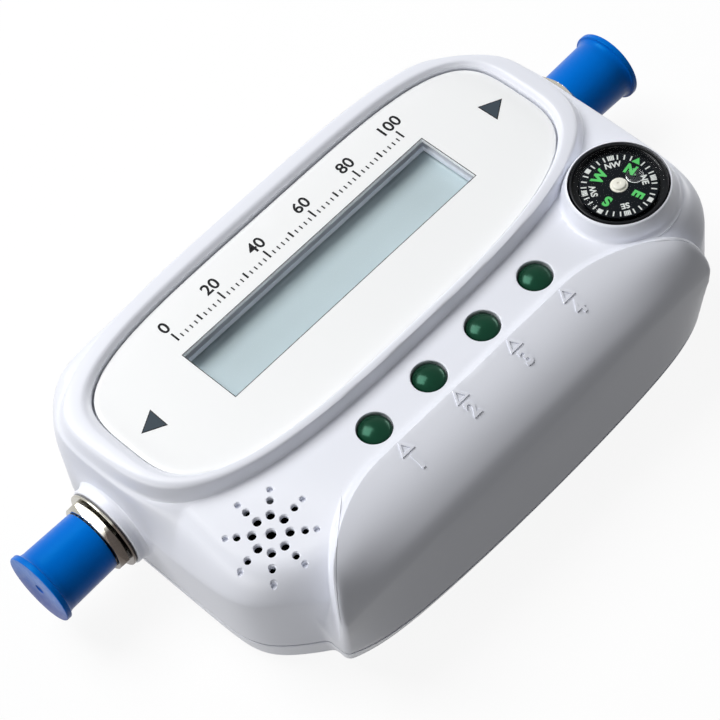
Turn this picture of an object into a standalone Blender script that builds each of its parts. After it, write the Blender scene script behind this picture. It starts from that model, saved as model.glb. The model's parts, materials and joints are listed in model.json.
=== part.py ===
"""Satellite signal meter with a card compass, two coaxial connectors and dust caps.

Frame, in metres: X runs along the two connectors and +X is the compass end, -Y is the
side with the lamps, and Z = 0 is the base. The origin lies under the connector axis at
mid-length.
"""
import math

import bmesh
import bpy
import numpy as np

# Overall levels
PANEL_LEVEL = 0.0265
SEAM_LEVEL = 0.0050
AXIS_LEVEL = 0.01186
WALL = 0.0020
GAP = 0.0003
SEAM_GAP = 0.0003
OVERRUN = 0.0020

# Point about which the rings of the case are laid out
HUB_Y = -0.0060

# Sides of the case in plan: direction it faces in degrees, distance from the hub,
# reach of its rounded shoulder, depth of its top edge below the panel, and how much
# further out it stands at the seam.
LEFT_SIDE = (180.0, 0.0491, 0.0062, 0.0110, -0.0002)
FRONT_LEFT_SIDE = (229.8, 0.0495, 0.0036, 0.0075, 0.0002)
FRONT_SIDE = (270.0, 0.0340, 0.0120, 0.0140, 0.0)
FRONT_RIGHT_SIDE = (310.2, 0.0540, 0.0036, 0.0045, -0.0003)
RIGHT_SIDE = (0.0, 0.0493, 0.0010, 0.0020, -0.0006)
BACK_RIGHT_SIDE = (45.6, 0.0426, 0.0028, 0.0042, 0.0008)
BACK_SIDE = (90.0, 0.0259, 0.0026, 0.0040, 0.0010)
BACK_LEFT_SIDE = (134.4, 0.0476, 0.0036, 0.0055, 0.0006)
CASE_SIDES = (LEFT_SIDE, FRONT_LEFT_SIDE, FRONT_SIDE, FRONT_RIGHT_SIDE,
              RIGHT_SIDE, BACK_RIGHT_SIDE, BACK_SIDE, BACK_LEFT_SIDE)
CORNER_SHARPNESS = 26.0
BLEND_SHARPNESS = 9.0
SHOULDER_POWER = 2.5
BASE_INSET = 0.0010
BASE_ROUND = 0.0006

# Deck between the ridge and the walls, tilted down at the left front corner
DECK_DEPTH = 0.0012
DECK_TILT = 0.235
DECK_TILT_DIRECTION = 209.3
DECK_TILT_START = 0.0409
DECK_TILT_SOFTNESS = 0.0030

# Ridge round the panel: outlines are superellipses, with a power behind and one in front
PANEL_HALF_LENGTH = 0.0431
PANEL_HALF_WIDTH = 0.0165
PANEL_Y = -0.0020
PANEL_POWERS = (4.2, 3.1)
PANEL_THICKNESS = 0.0008
RIDGE_FOOT_HALF_LENGTH = 0.0476
RIDGE_FOOT_HALF_WIDTH = 0.0200
RIDGE_FOOT_Y = -0.0009
RIDGE_FOOT_POWERS = (3.3, 3.2)
RIDGE_HEIGHT = 0.0013
RIDGE_INNER_LIP = 0.0002
RIDGE_PROFILE_SHARES = ((0.22, 0.85), (0.52, 1.0), (0.84, 0.35))

# Front apron
APRON_HALF_LENGTH = 0.0410
APRON_SEAM_HALF_LENGTH = 0.0405
CREST_Y = -0.0312
CREST_DEPTH = 0.0002
CREST_SWEEP = 0.0104
CREST_SWEEP_START = 0.0200
TIP_FALL = 0.0068
TIP_FALL_START = 0.0360
SHOULDER_Y = -0.0428
SHOULDER_DEPTH = 0.0066
SHOULDER_TIP_FALL = 0.0022
APRON_SLOPE_POWER = 1.5
APRON_SLOPE_SHARES = (0.15, 0.35, 0.55, 0.75, 0.9)
WAIST_Y = -0.0438
WAIST_DEPTH = 0.0120
WAIST_TIP_SHIFT = 0.0014
APRON_SEAM_Y = -0.0449
APRON_SEAM_BOW = 0.0020
APRON_SEAM_TIP_ROUND = 0.0028
APRON_BASE_INSET = 0.0020
RAMP_LENGTH = 0.0028
RAMP_TIP_LENGTH = 0.0017
RAMP_TIP_TURN_SHARE = 0.5
RAMP_SINK = 0.0005

# Compass
COMPASS_X = 0.0386
COMPASS_Y = -0.0263
COMPASS_RIM_HEIGHT = 0.0020
COMPASS_RADIUS = 0.0077
COMPASS_CUP_DEPTH = 0.0072
COMPASS_CUP_WALL = 0.0007
COMPASS_CUP_FLOOR = 0.0010
BOSS_FOOT_RADIUS = 0.0093
BOSS_TOP_RADIUS = 0.0087
BOSS_ROUND = 0.0005
CARD_RADIUS = 0.0062
CARD_THICKNESS = 0.0005
CARD_DEPTH = 0.0016
BUTTON_RADIUS = 0.0013
BUTTON_HEIGHT = 0.0007
PIVOT_RADIUS = 0.0005
PIVOT_TIP_RADIUS = 0.0001
PIVOT_FOOT_RADIUS = 0.0012
PIVOT_FOOT_HEIGHT = 0.0008
DOME_RISE = 0.0012
DOME_THICKNESS = 0.0006
DOME_SKIRT = 0.0009

# Signal lamps
LAMP_COUNT = 4
LAMP_X = -0.0165
LAMP_PITCH = 0.01185
LAMP_Y = -0.0263
LAMP_HOLE_RADIUS = 0.00285
LAMP_RADIUS = 0.0025
LAMP_DOME_RISE = 0.0013
LAMP_FLANGE_RADIUS = 0.0029
LAMP_FLANGE_HEIGHT = 0.0010
LAMP_BODY_HEIGHT = 0.0036
LAMP_PROUD = 0.0004
LAMP_LEAD_WIDTH = 0.0005
LAMP_LEAD_SPACING = 0.00254

# Sound holes and buzzer
GRILLE_X = -0.0389
GRILLE_Y = -0.0265
GRILLE_RAYS = 8
GRILLE_CENTRE_RADIUS = 0.00080
GRILLE_RINGS = ((0.00285, 0.00068), (0.0051, 0.00056), (0.00685, 0.00046))
GRILLE_DEPTH = 0.0150
BUZZER_X = -0.0342
BUZZER_Y = -0.0205
BUZZER_RADIUS = 0.0060
BUZZER_HEIGHT = 0.0095
BUZZER_RIM = 0.0006
BUZZER_PORT_RADIUS = 0.0010

# Display
WINDOW_LENGTH = 0.0531
WINDOW_WIDTH = 0.0116
WINDOW_X = 0.0002
WINDOW_Y = -0.0011
PANE_THICKNESS = 0.0006
PANE_MARGIN = 0.0022
DISPLAY_DEPTH = 0.0034
DISPLAY_MARGIN = 0.0024
DISPLAY_THICKNESS = 0.0016
HOLDER_THICKNESS = 0.0024
HOLDER_RIM = 0.0010
STRIP_LENGTH_SHARE = 0.8
STRIP_WIDTH = 0.0016

# Circuit board and what stands on it
BOARD_LENGTH = 0.0820
BOARD_FRONT_Y = -0.0295
BOARD_BACK_Y = 0.0096
BOARD_LEVEL = 0.0056
BOARD_THICKNESS = 0.0016
CAN_LENGTH = 0.0800
CAN_WIDTH = 0.0180
CAN_HEIGHT = 0.0082
CAN_SKIN = 0.0005
CHIP_SIZE = (0.0100, 0.0075, 0.0018)
CHIP_PLACE = (-0.0060, -0.0170)
COIL_PLACE = (0.0150, -0.0160)
COIL_RADIUS = 0.0034
COIL_HEIGHT = 0.0050
COIL_WAIST_SHARE = 0.7
COIL_FLANGE = 0.0009
CAPACITOR_PLACE = (0.0270, -0.0160)
CAPACITOR_RADIUS = 0.0031
CAPACITOR_HEIGHT = 0.0090
CAPACITOR_GROOVE = 0.0003
REGULATOR_PLACE = (-0.0190, -0.0170)
REGULATOR_SIZE = (0.0065, 0.0035, 0.0017)

# Coaxial connectors, nuts, washers and dust caps, on the connector axis
COLLAR_RADIUS = 0.00725
COLLAR_FACE_X = 0.05088
COLLAR_ROOT_FLARE = 0.0006
COLLAR_INNER_X = 0.0440
BARREL_RADIUS = 0.0047
BARREL_END_X = 0.0618
BARREL_BORE_RADIUS = 0.0034
BARREL_INNER_X = 0.0403
BARREL_CHAMFER = 0.0004
BARREL_FLANGE_RADIUS = 0.0062
BARREL_FLANGE_THICKNESS = 0.0012
INSULATOR_HOLE_RADIUS = 0.0011
INSULATOR_SETBACK = 0.0006
BARREL_BORE_DEPTH = 0.0150
CONTACT_RADIUS = 0.0008
CONTACT_SETBACK = 0.0012
CONTACT_HOLE_RADIUS = 0.0004
CONTACT_HOLE_DEPTH = 0.0050
WASHER_RADIUS = 0.0070
WASHER_THICKNESS = 0.0004
NUT_ACROSS_FLATS = 0.0120
NUT_THICKNESS = 0.0017
NUT_CHAMFER = 0.0007
CAP_END_X = 0.0650
CAP_OPEN_RADIUS = 0.0054
CAP_ROOT_RADIUS = 0.0056
CAP_FLANGE_RADIUS = 0.0063
CAP_FLANGE_THICKNESS = 0.0010
CAP_FLANGE_FILLET = 0.0006
CAP_FACE_RECESS = 0.0006
CAP_FACE_THICKNESS = 0.0010
CAP_FACE_RADIUS = 0.0051

# Cover screws and the posts that take them
COVER_SCREW_X = 0.0340
COVER_SCREW_BACK_Y = 0.0128
COVER_SCREW_FRONT_X = 0.0355
COVER_SCREW_FRONT_Y = -0.0315
POST_RADIUS = 0.0029
SCREW_RADIUS = 0.0011
SCREW_HEAD_RADIUS = 0.0023
SCREW_HEAD_HEIGHT = 0.0012
SCREW_LENGTH = 0.0085
SCREW_RECESS = 0.0010
SCREW_SLOT = 0.0005
BOARD_SCREW_X = 0.0245
BOARD_SCREW_Y = -0.0240
BOARD_POST_RADIUS = 0.0024
BOARD_SCREW_LENGTH = 0.0042

# Fineness of the surfaces
CASE_STEPS = 66
CAVITY_STEPS = 32
APRON_STEPS = 20
CAVITY_APRON_STEPS = 12
DECK_SHARES = (0.35, 0.65, 0.84, 0.95)
CAVITY_DECK_SHARES = (0.5, 0.85)
ROUND_STEPS = 26
SMALL_STEPS = 16
TINY_STEPS = 8
HOLE_STEPS = 6
BISECTIONS = 44
SHARP_ANGLE = 32.0

WHITE_PLASTIC = ("white_plastic", (0.86, 0.86, 0.89, 1.0), 0.36, 0.0)
WHITE_FILM = ("white_film", (0.93, 0.94, 0.94, 1.0), 0.30, 0.0)
CLEAR_PLASTIC = ("clear_plastic", (0.92, 0.95, 0.95, 0.3), 0.08, 0.0)
DISPLAY_GLASS = ("display_glass", (0.55, 0.62, 0.62, 1.0), 0.18, 0.0)
GREY_PLASTIC = ("grey_plastic", (0.45, 0.46, 0.48, 1.0), 0.50, 0.0)
GREEN_LENS = ("green_lens", (0.01, 0.13, 0.05, 1.0), 0.12, 0.0)
BLACK_PLASTIC = ("black_plastic", (0.02, 0.02, 0.022, 1.0), 0.35, 0.0)
BLACK_CARD = ("black_card", (0.015, 0.016, 0.02, 1.0), 0.55, 0.0)
BRIGHT_STEEL = ("bright_steel", (0.75, 0.74, 0.70, 1.0), 0.20, 1.0)
NICKEL = ("nickel_plate", (0.70, 0.67, 0.60, 1.0), 0.24, 1.0)
BRASS = ("contact_brass", (0.72, 0.55, 0.25, 1.0), 0.30, 1.0)
TIN = ("tin_plate", (0.66, 0.67, 0.68, 1.0), 0.38, 1.0)
BLUE_PLASTIC = ("blue_plastic", (0.0, 0.12, 0.72, 1.0), 0.38, 0.0)
BOARD_GREEN = ("board_green", (0.02, 0.18, 0.07, 1.0), 0.45, 0.0)
INSULATOR_WHITE = ("insulator_white", (0.85, 0.85, 0.82, 1.0), 0.50, 0.0)
RUBBER = ("contact_rubber", (0.05, 0.05, 0.05, 1.0), 0.80, 0.0)


def clear_scene():
    for item in list(bpy.data.objects):
        bpy.data.objects.remove(item, do_unlink=True)


def material(finish):
    """A Principled material from (name, colour, roughness, metallic)."""
    name, colour, roughness, metallic = finish
    made = bpy.data.materials.get(name) or bpy.data.materials.new(name)
    made.use_nodes = True
    shader = made.node_tree.nodes["Principled BSDF"]
    shader.inputs["Base Color"].default_value = colour
    shader.inputs["Roughness"].default_value = roughness
    shader.inputs["Metallic"].default_value = metallic
    shader.inputs["Alpha"].default_value = colour[3]
    return made


def add_object(name, mesh_data, finish=None, smooth=True):
    """An object from a finished bmesh, with its faces turned outwards."""
    bmesh.ops.recalc_face_normals(mesh_data, faces=mesh_data.faces)
    mesh = bpy.data.meshes.new(name)
    mesh_data.to_mesh(mesh)
    mesh_data.free()
    if smooth:
        mesh.shade_smooth()
        mesh.set_sharp_from_angle(angle=math.radians(SHARP_ANGLE))
    made = bpy.data.objects.new(name, mesh)
    bpy.context.scene.collection.objects.link(made)
    if finish is None:
        made.hide_render = True
        made.display_type = 'WIRE'
    else:
        mesh.materials.append(material(finish))
    return made


def loft(name, rings, finish=None):
    """A closed body through rings of equal point counts, capped at both ends."""
    mesh_data = bmesh.new()
    rows = [[mesh_data.verts.new(point) for point in ring] for ring in rings]
    count = len(rows[0])
    for lower, upper in zip(rows, rows[1:]):
        for i in range(count):
            j = (i + 1) % count
            mesh_data.faces.new((lower[i], lower[j], upper[j], upper[i]))
    caps = [mesh_data.faces.new(row) for row in (rows[0], rows[-1])]
    bmesh.ops.triangulate(mesh_data, faces=caps)
    return add_object(name, mesh_data, finish)


def revolve(name, profile, steps, centre, finish=None, along='Z', sense=1):
    """Turn a profile of (radius, distance) about a line through centre.

    The line runs along Z, or along X, where sense picks the end it points to. A point
    of zero radius closes the body on the line, as a flat end where the next point is
    level with it.
    """
    profile = list(profile)
    mesh_data = bmesh.new()
    rows = []
    ends = []
    closed = profile[0][0] != 0 and profile[-1][0] != 0
    for end, neighbour in ((-1, -2), (0, 1)):
        if profile[end][0] == 0 and profile[end][1] == profile[neighbour][1]:
            profile.pop(end)
            ends.append(end)
    for radius, distance in profile:
        if radius == 0:
            turns = [(0.0, 0.0)]
        else:
            angles = [2 * math.pi * i / steps for i in range(steps)]
            turns = [(radius * math.cos(a), radius * math.sin(a)) for a in angles]
        if along == 'Z':
            points = [(centre[0] + u, centre[1] + v, centre[2] + distance) for u, v in turns]
        else:
            points = [(centre[0] + sense * distance, centre[1] + u, centre[2] + v)
                      for u, v in turns]
        rows.append([mesh_data.verts.new(point) for point in points])
    for end in ends:
        mesh_data.faces.new(rows[end])
    pairs = list(zip(rows, rows[1:]))
    if closed:
        pairs.append((rows[-1], rows[0]))
    for first, second in pairs:
        for i in range(steps):
            j = (i + 1) % steps
            corners = [first[i % len(first)], first[j % len(first)],
                       second[j % len(second)], second[i % len(second)]]
            kept = list(dict.fromkeys(corners))
            if len(kept) > 2:
                mesh_data.faces.new(kept)
    return add_object(name, mesh_data, finish)


def block(name, low, high, finish=None, rounding=0.0):
    """A box between two corners, with its upright edges rounded if asked."""
    mesh_data = bmesh.new()
    bmesh.ops.create_cube(mesh_data, size=1.0)
    for vertex in mesh_data.verts:
        for k in range(3):
            vertex.co[k] = (low[k] + high[k]) / 2 + vertex.co[k] * (high[k] - low[k])
    if rounding:
        upright = [edge for edge in mesh_data.edges
                   if edge.verts[0].co.x == edge.verts[1].co.x
                   and edge.verts[0].co.y == edge.verts[1].co.y]
        bmesh.ops.bevel(mesh_data, geom=upright, offset=rounding, segments=3,
                        affect='EDGES', profile=0.5)
    return add_object(name, mesh_data, finish)


def show(made, finish):
    """Turn a helper into a piece of the product."""
    made.hide_render = False
    made.display_type = 'TEXTURED'
    made.data.materials.append(material(finish))


def boolean(target, tool, operation):
    """A live Boolean of target with tool: DIFFERENCE, UNION or INTERSECT."""
    step = target.modifiers.new(tool.name, 'BOOLEAN')
    step.operation = operation
    step.solver = 'EXACT'
    step.object = tool
    return step


def joined(name, tools):
    """One helper made of several that don't touch, so that one Boolean serves them all."""
    mesh_data = bmesh.new()
    for tool in tools:
        mesh_data.from_mesh(tool.data)
        bpy.data.objects.remove(tool, do_unlink=True)
    return add_object(name, mesh_data)


# Case outlines

def side_pull(directions, extra, sharpness):
    """The pull of each side on each direction, for the outline and for blends."""
    pulls = []
    for side, shift in zip(CASE_SIDES, extra):
        facing = math.radians(side[0])
        across = directions[:, 0] * math.cos(facing) + directions[:, 1] * math.sin(facing)
        pulls.append(np.maximum(across, 0.0) / (side[1] + shift))
    return np.array(pulls) ** sharpness


def outline_reach(directions, extra):
    """Distance from the hub to a rounded polygon: the p-norm of its sides."""
    pulls = side_pull(directions, extra, CORNER_SHARPNESS)
    return pulls.sum(axis=0) ** (-1 / CORNER_SHARPNESS)


def side_blend(directions, column):
    """One property of the sides, blended round the corners."""
    pulls = side_pull(directions, [0.0] * len(CASE_SIDES), BLEND_SHARPNESS)
    values = np.array([side[column] for side in CASE_SIDES])
    return (pulls * values[:, None]).sum(axis=0) / pulls.sum(axis=0)


def oval_reach(directions, half_length, half_width, centre_y, powers):
    """Distance from the hub to a superellipse, found by halving.

    The first power holds behind the centre line and the second in front of it.
    """
    low = np.zeros(len(directions))
    high = np.full(len(directions), 2 * half_length)
    for _ in range(BISECTIONS):
        middle = (low + high) / 2
        offset = HUB_Y + middle * directions[:, 1] - centre_y
        power = np.where(offset > 0, *powers)
        across = np.abs(middle * directions[:, 0] / half_length) ** power
        along = np.abs(offset / half_width) ** power
        inside = across + along < 1
        low = np.where(inside, middle, low)
        high = np.where(inside, high, middle)
    return low


def even_directions(steps):
    """Directions from the hub that meet the case outline at even spacing."""
    fine = np.linspace(0, 2 * math.pi, 40 * steps + 1)
    rays = np.stack([np.cos(fine), np.sin(fine)], axis=1)
    points = rays * outline_reach(rays, [0.0] * len(CASE_SIDES))[:, None]
    travelled = np.concatenate([[0.0], np.cumsum(np.hypot(*np.diff(points, axis=0).T))])
    angles = np.interp(np.arange(steps) * travelled[-1] / steps, travelled, fine)
    return np.stack([np.cos(angles), np.sin(angles)], axis=1)


def ring(directions, reach, heights):
    heights = np.broadcast_to(heights, reach.shape)
    return np.stack([directions[:, 0] * reach, HUB_Y + directions[:, 1] * reach, heights], axis=1)


def foot_reach(directions):
    """The ridge's foot: a superellipse that stays inside the case's outline."""
    free = oval_reach(directions, RIDGE_FOOT_HALF_LENGTH, RIDGE_FOOT_HALF_WIDTH,
                      RIDGE_FOOT_Y, RIDGE_FOOT_POWERS)
    return np.minimum(free, outline_reach(directions, [-GAP] * len(CASE_SIDES)))


def panel_reach(directions, margin):
    return oval_reach(directions, PANEL_HALF_LENGTH + margin, PANEL_HALF_WIDTH + margin,
                      PANEL_Y, PANEL_POWERS)


def deck_height(x, y):
    """A level deck that bends down along a slant line at the left front corner."""
    turn = math.radians(DECK_TILT_DIRECTION)
    past = x * math.cos(turn) + y * math.sin(turn) - DECK_TILT_START
    fall = (past + np.sqrt(past ** 2 + DECK_TILT_SOFTNESS ** 2)) / 2
    return PANEL_LEVEL - DECK_DEPTH - DECK_TILT * fall


def case_height(x, y):
    """Height of the case's skin outside the ridge: the deck less its rounded shoulder."""
    reach = np.maximum(np.hypot(x, y - HUB_Y), 1e-9)
    directions = np.stack([x / reach, (y - HUB_Y) / reach], axis=1)
    edge = outline_reach(directions, [0.0] * len(CASE_SIDES))
    gap = edge - foot_reach(directions)
    shoulder = np.minimum(side_blend(directions, 2), np.maximum(gap, GAP))
    nearness = np.clip(1 - (edge - reach) / shoulder, 0.0, 1.0)
    edge_height = PANEL_LEVEL - side_blend(directions, 3)
    rim = deck_height(directions[:, 0] * edge, HUB_Y + directions[:, 1] * edge)
    return deck_height(x, y) - (rim - edge_height) * nearness ** SHOULDER_POWER


def deck_rings(directions, shares, inset, drop):
    """Rings across the deck, from the ridge's foot to the top edge of the walls."""
    foot = foot_reach(directions) - inset / 2
    edge = outline_reach(directions, [-inset] * len(CASE_SIDES))
    outer = outline_reach(directions, [0.0] * len(CASE_SIDES))
    gap = np.maximum(edge - foot, GAP)
    rings = []
    for share in (0.0,) + shares + (1.0,):
        reach = foot + gap * share
        skin = foot_reach(directions) + (outer - foot_reach(directions)) * share
        place = ring(directions, skin, 0.0)
        height = case_height(place[:, 0], place[:, 1])
        rings.append(ring(directions, reach, height - drop))
    return rings


def outer_case(name):
    """The whole case as one lofted body: ridge, deck, shoulders, walls and base."""
    directions = even_directions(CASE_STEPS)
    floor = PANEL_LEVEL - PANEL_THICKNESS - GAP
    recess = panel_reach(directions, GAP)
    foot = foot_reach(directions)
    rings = [ring(directions, recess, floor),
             ring(directions, recess, PANEL_LEVEL + RIDGE_INNER_LIP)]
    for across, up in RIDGE_PROFILE_SHARES:
        height = PANEL_LEVEL - DECK_DEPTH * (1 - up) + RIDGE_HEIGHT * up
        rings.append(ring(directions, recess + (foot - recess) * across, height))
    rings += deck_rings(directions, DECK_SHARES, 0.0, 0.0)
    leans = np.array([side[4] for side in CASE_SIDES])
    seam = outline_reach(directions, leans)
    base = outline_reach(directions, leans - BASE_INSET)
    rings.append(ring(directions, seam, SEAM_LEVEL))
    rings.append(ring(directions, base + BASE_ROUND * (1 - math.cos(math.pi / 4)), BASE_ROUND))
    rings.append(ring(directions, base - BASE_ROUND, 0.0))
    return loft(name, rings)


def case_cavity():
    """The hollow inside the case, one wall thickness in from its skin."""
    directions = even_directions(CAVITY_STEPS)
    leans = np.array([side[4] for side in CASE_SIDES])
    roof = PANEL_LEVEL - PANEL_THICKNESS - GAP - WALL
    rings = [ring(directions, panel_reach(directions, -WALL), roof)]
    rings += deck_rings(directions, CAVITY_DECK_SHARES, WALL, WALL)
    seam = outline_reach(directions, leans - WALL)
    rings.append(ring(directions, seam, SEAM_LEVEL))
    rings.append(ring(directions, seam, SEAM_LEVEL - OVERRUN))
    return loft("case_hollow", rings)


# Apron

def beyond(values, start, end):
    """Share of the way from start to end, zero before start."""
    return np.clip((np.abs(values) - start) / (end - start), 0.0, None)


def apron(name, steps, inset):
    """The proud front of the case, lofted lengthwise through closed cross sections.

    Each section starts at the foot of the ramp behind the crest, goes over the crest,
    down the convex front to the shoulder, and down the wall to the base.
    """
    turn = np.linspace(-math.pi / 2, math.pi / 2, steps + 1)
    half = APRON_HALF_LENGTH
    s = (np.sin(turn) + turn / (math.pi / 2)) / 2 * (half - 2 * inset) / half
    crest_x = s * half
    crest_y = CREST_Y - CREST_SWEEP * beyond(crest_x, CREST_SWEEP_START, half) ** 2 + inset
    tip = TIP_FALL * beyond(crest_x, TIP_FALL_START, half) ** 3
    crest_z = PANEL_LEVEL - CREST_DEPTH - tip - 2 * inset
    shoulder_y = np.full_like(s, SHOULDER_Y + inset)
    shoulder_z = PANEL_LEVEL - SHOULDER_DEPTH - SHOULDER_TIP_FALL * s ** 4 - inset
    length = RAMP_LENGTH + RAMP_TIP_LENGTH * s ** 6
    side = -RAMP_TIP_TURN_SHARE * s ** 5
    ramp_x = crest_x + side * length
    ramp_y = crest_y + np.sqrt(1 - side ** 2) * length
    ramp_z = case_height(ramp_x, ramp_y) - RAMP_SINK - 2 * inset
    rows = [(ramp_x, ramp_y, ramp_z), (crest_x, crest_y, crest_z)]
    for share in APRON_SLOPE_SHARES + (1.0,):
        drop = share ** APRON_SLOPE_POWER
        rows.append((crest_x, crest_y + (shoulder_y - crest_y) * share,
                     crest_z + (shoulder_z - crest_z) * drop))
    rows.append((crest_x, WAIST_Y + WAIST_TIP_SHIFT * s ** 2 + inset,
                 np.full_like(s, PANEL_LEVEL - WAIST_DEPTH)))
    seam_x = s * APRON_SEAM_HALF_LENGTH
    seam_y = APRON_SEAM_Y + APRON_SEAM_BOW * s ** 2 + APRON_SEAM_TIP_ROUND * s ** 8 + inset
    rows.append((seam_x, seam_y, np.full_like(s, SEAM_LEVEL)))
    if inset:
        bottom = np.full_like(s, SEAM_LEVEL - OVERRUN / 2)
        rows.append((seam_x, seam_y, bottom))
    else:
        bottom = np.zeros_like(s)
        base_x = s * (APRON_SEAM_HALF_LENGTH - APRON_BASE_INSET / 2)
        rows.append((base_x, seam_y + APRON_BASE_INSET, np.full_like(s, BASE_ROUND)))
        rows.append((base_x - s * BASE_ROUND, seam_y + APRON_BASE_INSET + BASE_ROUND, bottom))
    rows.append((ramp_x * (half - RAMP_LENGTH) / half, ramp_y + RAMP_LENGTH, bottom))
    points = np.array([np.stack(row, axis=1) for row in rows])
    return loft(name, [points[:, i] for i in range(points.shape[1])])


# Features shared by both shells

def half_space(name, low, high):
    reach = RIGHT_SIDE[1] + COLLAR_FACE_X
    return block(name, (-reach, -reach, low), (reach, reach, high))


def collar_tools():
    """The two round collars that carry the connectors, as one helper."""
    profile = [(0.0, COLLAR_INNER_X), (COLLAR_RADIUS + COLLAR_ROOT_FLARE, COLLAR_INNER_X),
               (COLLAR_RADIUS + COLLAR_ROOT_FLARE, LEFT_SIDE[1] - COLLAR_ROOT_FLARE),
               (COLLAR_RADIUS, LEFT_SIDE[1] + COLLAR_ROOT_FLARE),
               (COLLAR_RADIUS, COLLAR_FACE_X), (0.0, COLLAR_FACE_X)]
    made = [revolve("collar", profile, ROUND_STEPS, (0, 0, AXIS_LEVEL), along='X', sense=sense)
            for sense in (-1, 1)]
    return joined("collars", made)


def boss_rim_level():
    return PANEL_LEVEL + COMPASS_RIM_HEIGHT


def boss_tool():
    """The round boss that carries the compass, deep enough to seat its cup."""
    top = boss_rim_level()
    foot = top - COMPASS_CUP_DEPTH - GAP - WALL
    shoulder = PANEL_LEVEL - DECK_DEPTH
    profile = [(0.0, foot), (BOSS_TOP_RADIUS, foot), (BOSS_FOOT_RADIUS, shoulder),
               (BOSS_TOP_RADIUS, top - BOSS_ROUND),
               (BOSS_TOP_RADIUS - BOSS_ROUND / 3, top - BOSS_ROUND / 3),
               (BOSS_TOP_RADIUS - BOSS_ROUND, top), (0.0, top)]
    return revolve("compass_boss", profile, ROUND_STEPS, (COMPASS_X, COMPASS_Y, 0))


def screw_places():
    return [(-COVER_SCREW_X, COVER_SCREW_BACK_Y), (COVER_SCREW_X, COVER_SCREW_BACK_Y),
            (-COVER_SCREW_FRONT_X, COVER_SCREW_FRONT_Y),
            (COVER_SCREW_FRONT_X, COVER_SCREW_FRONT_Y)]


def board_screw_places():
    return [(-BOARD_SCREW_X, BOARD_SCREW_Y), (BOARD_SCREW_X, BOARD_SCREW_Y)]


def cylinders(name, places, radius, low, high, steps):
    profile = [(0.0, low), (radius, low), (radius, high), (0.0, high)]
    return joined(name, [revolve("rod", profile, steps, (x, y, 0)) for x, y in places])


def posts_to_roof(name, places, radius, low):
    """Round posts whose tops follow the skin of the case, halfway into its wall."""
    turns = np.linspace(0, 2 * math.pi, SMALL_STEPS, endpoint=False)
    made = []
    for x, y in places:
        across = x + radius * np.cos(turns)
        along = y + radius * np.sin(turns)
        roof = case_height(across, along) - WALL / 2
        made.append(loft("post", [np.stack([across, along, np.full_like(across, low)], axis=1),
                                  np.stack([across, along, roof], axis=1)]))
    return joined(name, made)


def lamp_places():
    return [(LAMP_X + i * LAMP_PITCH, LAMP_Y) for i in range(LAMP_COUNT)]


def grille_tool():
    """A star of sound holes: rays of three holes that shrink outwards, and a middle one."""
    low = PANEL_LEVEL - GRILLE_DEPTH
    high = PANEL_LEVEL + OVERRUN
    made = []
    places = [(GRILLE_X, GRILLE_Y, GRILLE_CENTRE_RADIUS)]
    for i in range(GRILLE_RAYS):
        angle = 2 * math.pi * i / GRILLE_RAYS
        for reach, radius in GRILLE_RINGS:
            places.append((GRILLE_X + reach * math.cos(angle),
                           GRILLE_Y + reach * math.sin(angle), radius))
    for x, y, radius in places:
        profile = [(0.0, low), (radius, low), (radius, high), (0.0, high)]
        made.append(revolve("hole", profile, HOLE_STEPS, (x, y, 0)))
    return joined("sound_holes", made)


def window_box(name, margin, low, high):
    return block(name,
                 (WINDOW_X - WINDOW_LENGTH / 2 - margin, WINDOW_Y - WINDOW_WIDTH / 2 - margin, low),
                 (WINDOW_X + WINDOW_LENGTH / 2 + margin, WINDOW_Y + WINDOW_WIDTH / 2 + margin, high))


def pane_level():
    return PANEL_LEVEL - PANEL_THICKNESS - GAP


def top_shell(front):
    """The moulded upper shell: solid forms, then the hollow, then seats, posts and holes."""
    shell = outer_case("top_shell")
    show(shell, WHITE_PLASTIC)
    boolean(shell, front, 'UNION')
    boolean(shell, collar_tools(), 'UNION')
    boolean(shell, half_space("below_seam", -PANEL_LEVEL, SEAM_LEVEL + SEAM_GAP), 'DIFFERENCE')
    boolean(shell, case_cavity(), 'DIFFERENCE')
    boolean(shell, apron("apron_hollow", CAVITY_APRON_STEPS, WALL), 'DIFFERENCE')
    boolean(shell, boss_tool(), 'UNION')
    boolean(shell, posts_to_roof("screw_posts", screw_places(), POST_RADIUS,
                                 SEAM_LEVEL + 2 * SEAM_GAP), 'UNION')
    boolean(shell, cylinders("compass_pocket", [(COMPASS_X, COMPASS_Y)], COMPASS_RADIUS + GAP,
                             boss_rim_level() - COMPASS_CUP_DEPTH - GAP,
                             boss_rim_level() + OVERRUN, ROUND_STEPS), 'DIFFERENCE')
    boolean(shell, cylinders("lamp_holes", lamp_places(), LAMP_HOLE_RADIUS, AXIS_LEVEL,
                             PANEL_LEVEL + OVERRUN, SMALL_STEPS), 'DIFFERENCE')
    boolean(shell, grille_tool(), 'DIFFERENCE')
    boolean(shell, window_box("window_hole", 0.0, AXIS_LEVEL, PANEL_LEVEL), 'DIFFERENCE')
    boolean(shell, window_box("pane_seat", PANE_MARGIN + GAP, pane_level() - PANE_THICKNESS - GAP,
                              PANEL_LEVEL), 'DIFFERENCE')
    bore = [(0.0, COLLAR_INNER_X - OVERRUN), (BARREL_RADIUS + GAP, COLLAR_INNER_X - OVERRUN),
            (BARREL_RADIUS + GAP, COLLAR_FACE_X + OVERRUN), (0.0, COLLAR_FACE_X + OVERRUN)]
    bores = [revolve("bore", bore, SMALL_STEPS, (0, 0, AXIS_LEVEL), along='X', sense=sense)
             for sense in (-1, 1)]
    boolean(shell, joined("connector_bores", bores), 'DIFFERENCE')
    boolean(shell, cylinders("screw_bores", screw_places(), SCREW_RADIUS + GAP, SEAM_LEVEL / 2,
                             SCREW_RECESS + SCREW_LENGTH + OVERRUN, TINY_STEPS), 'DIFFERENCE')


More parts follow.
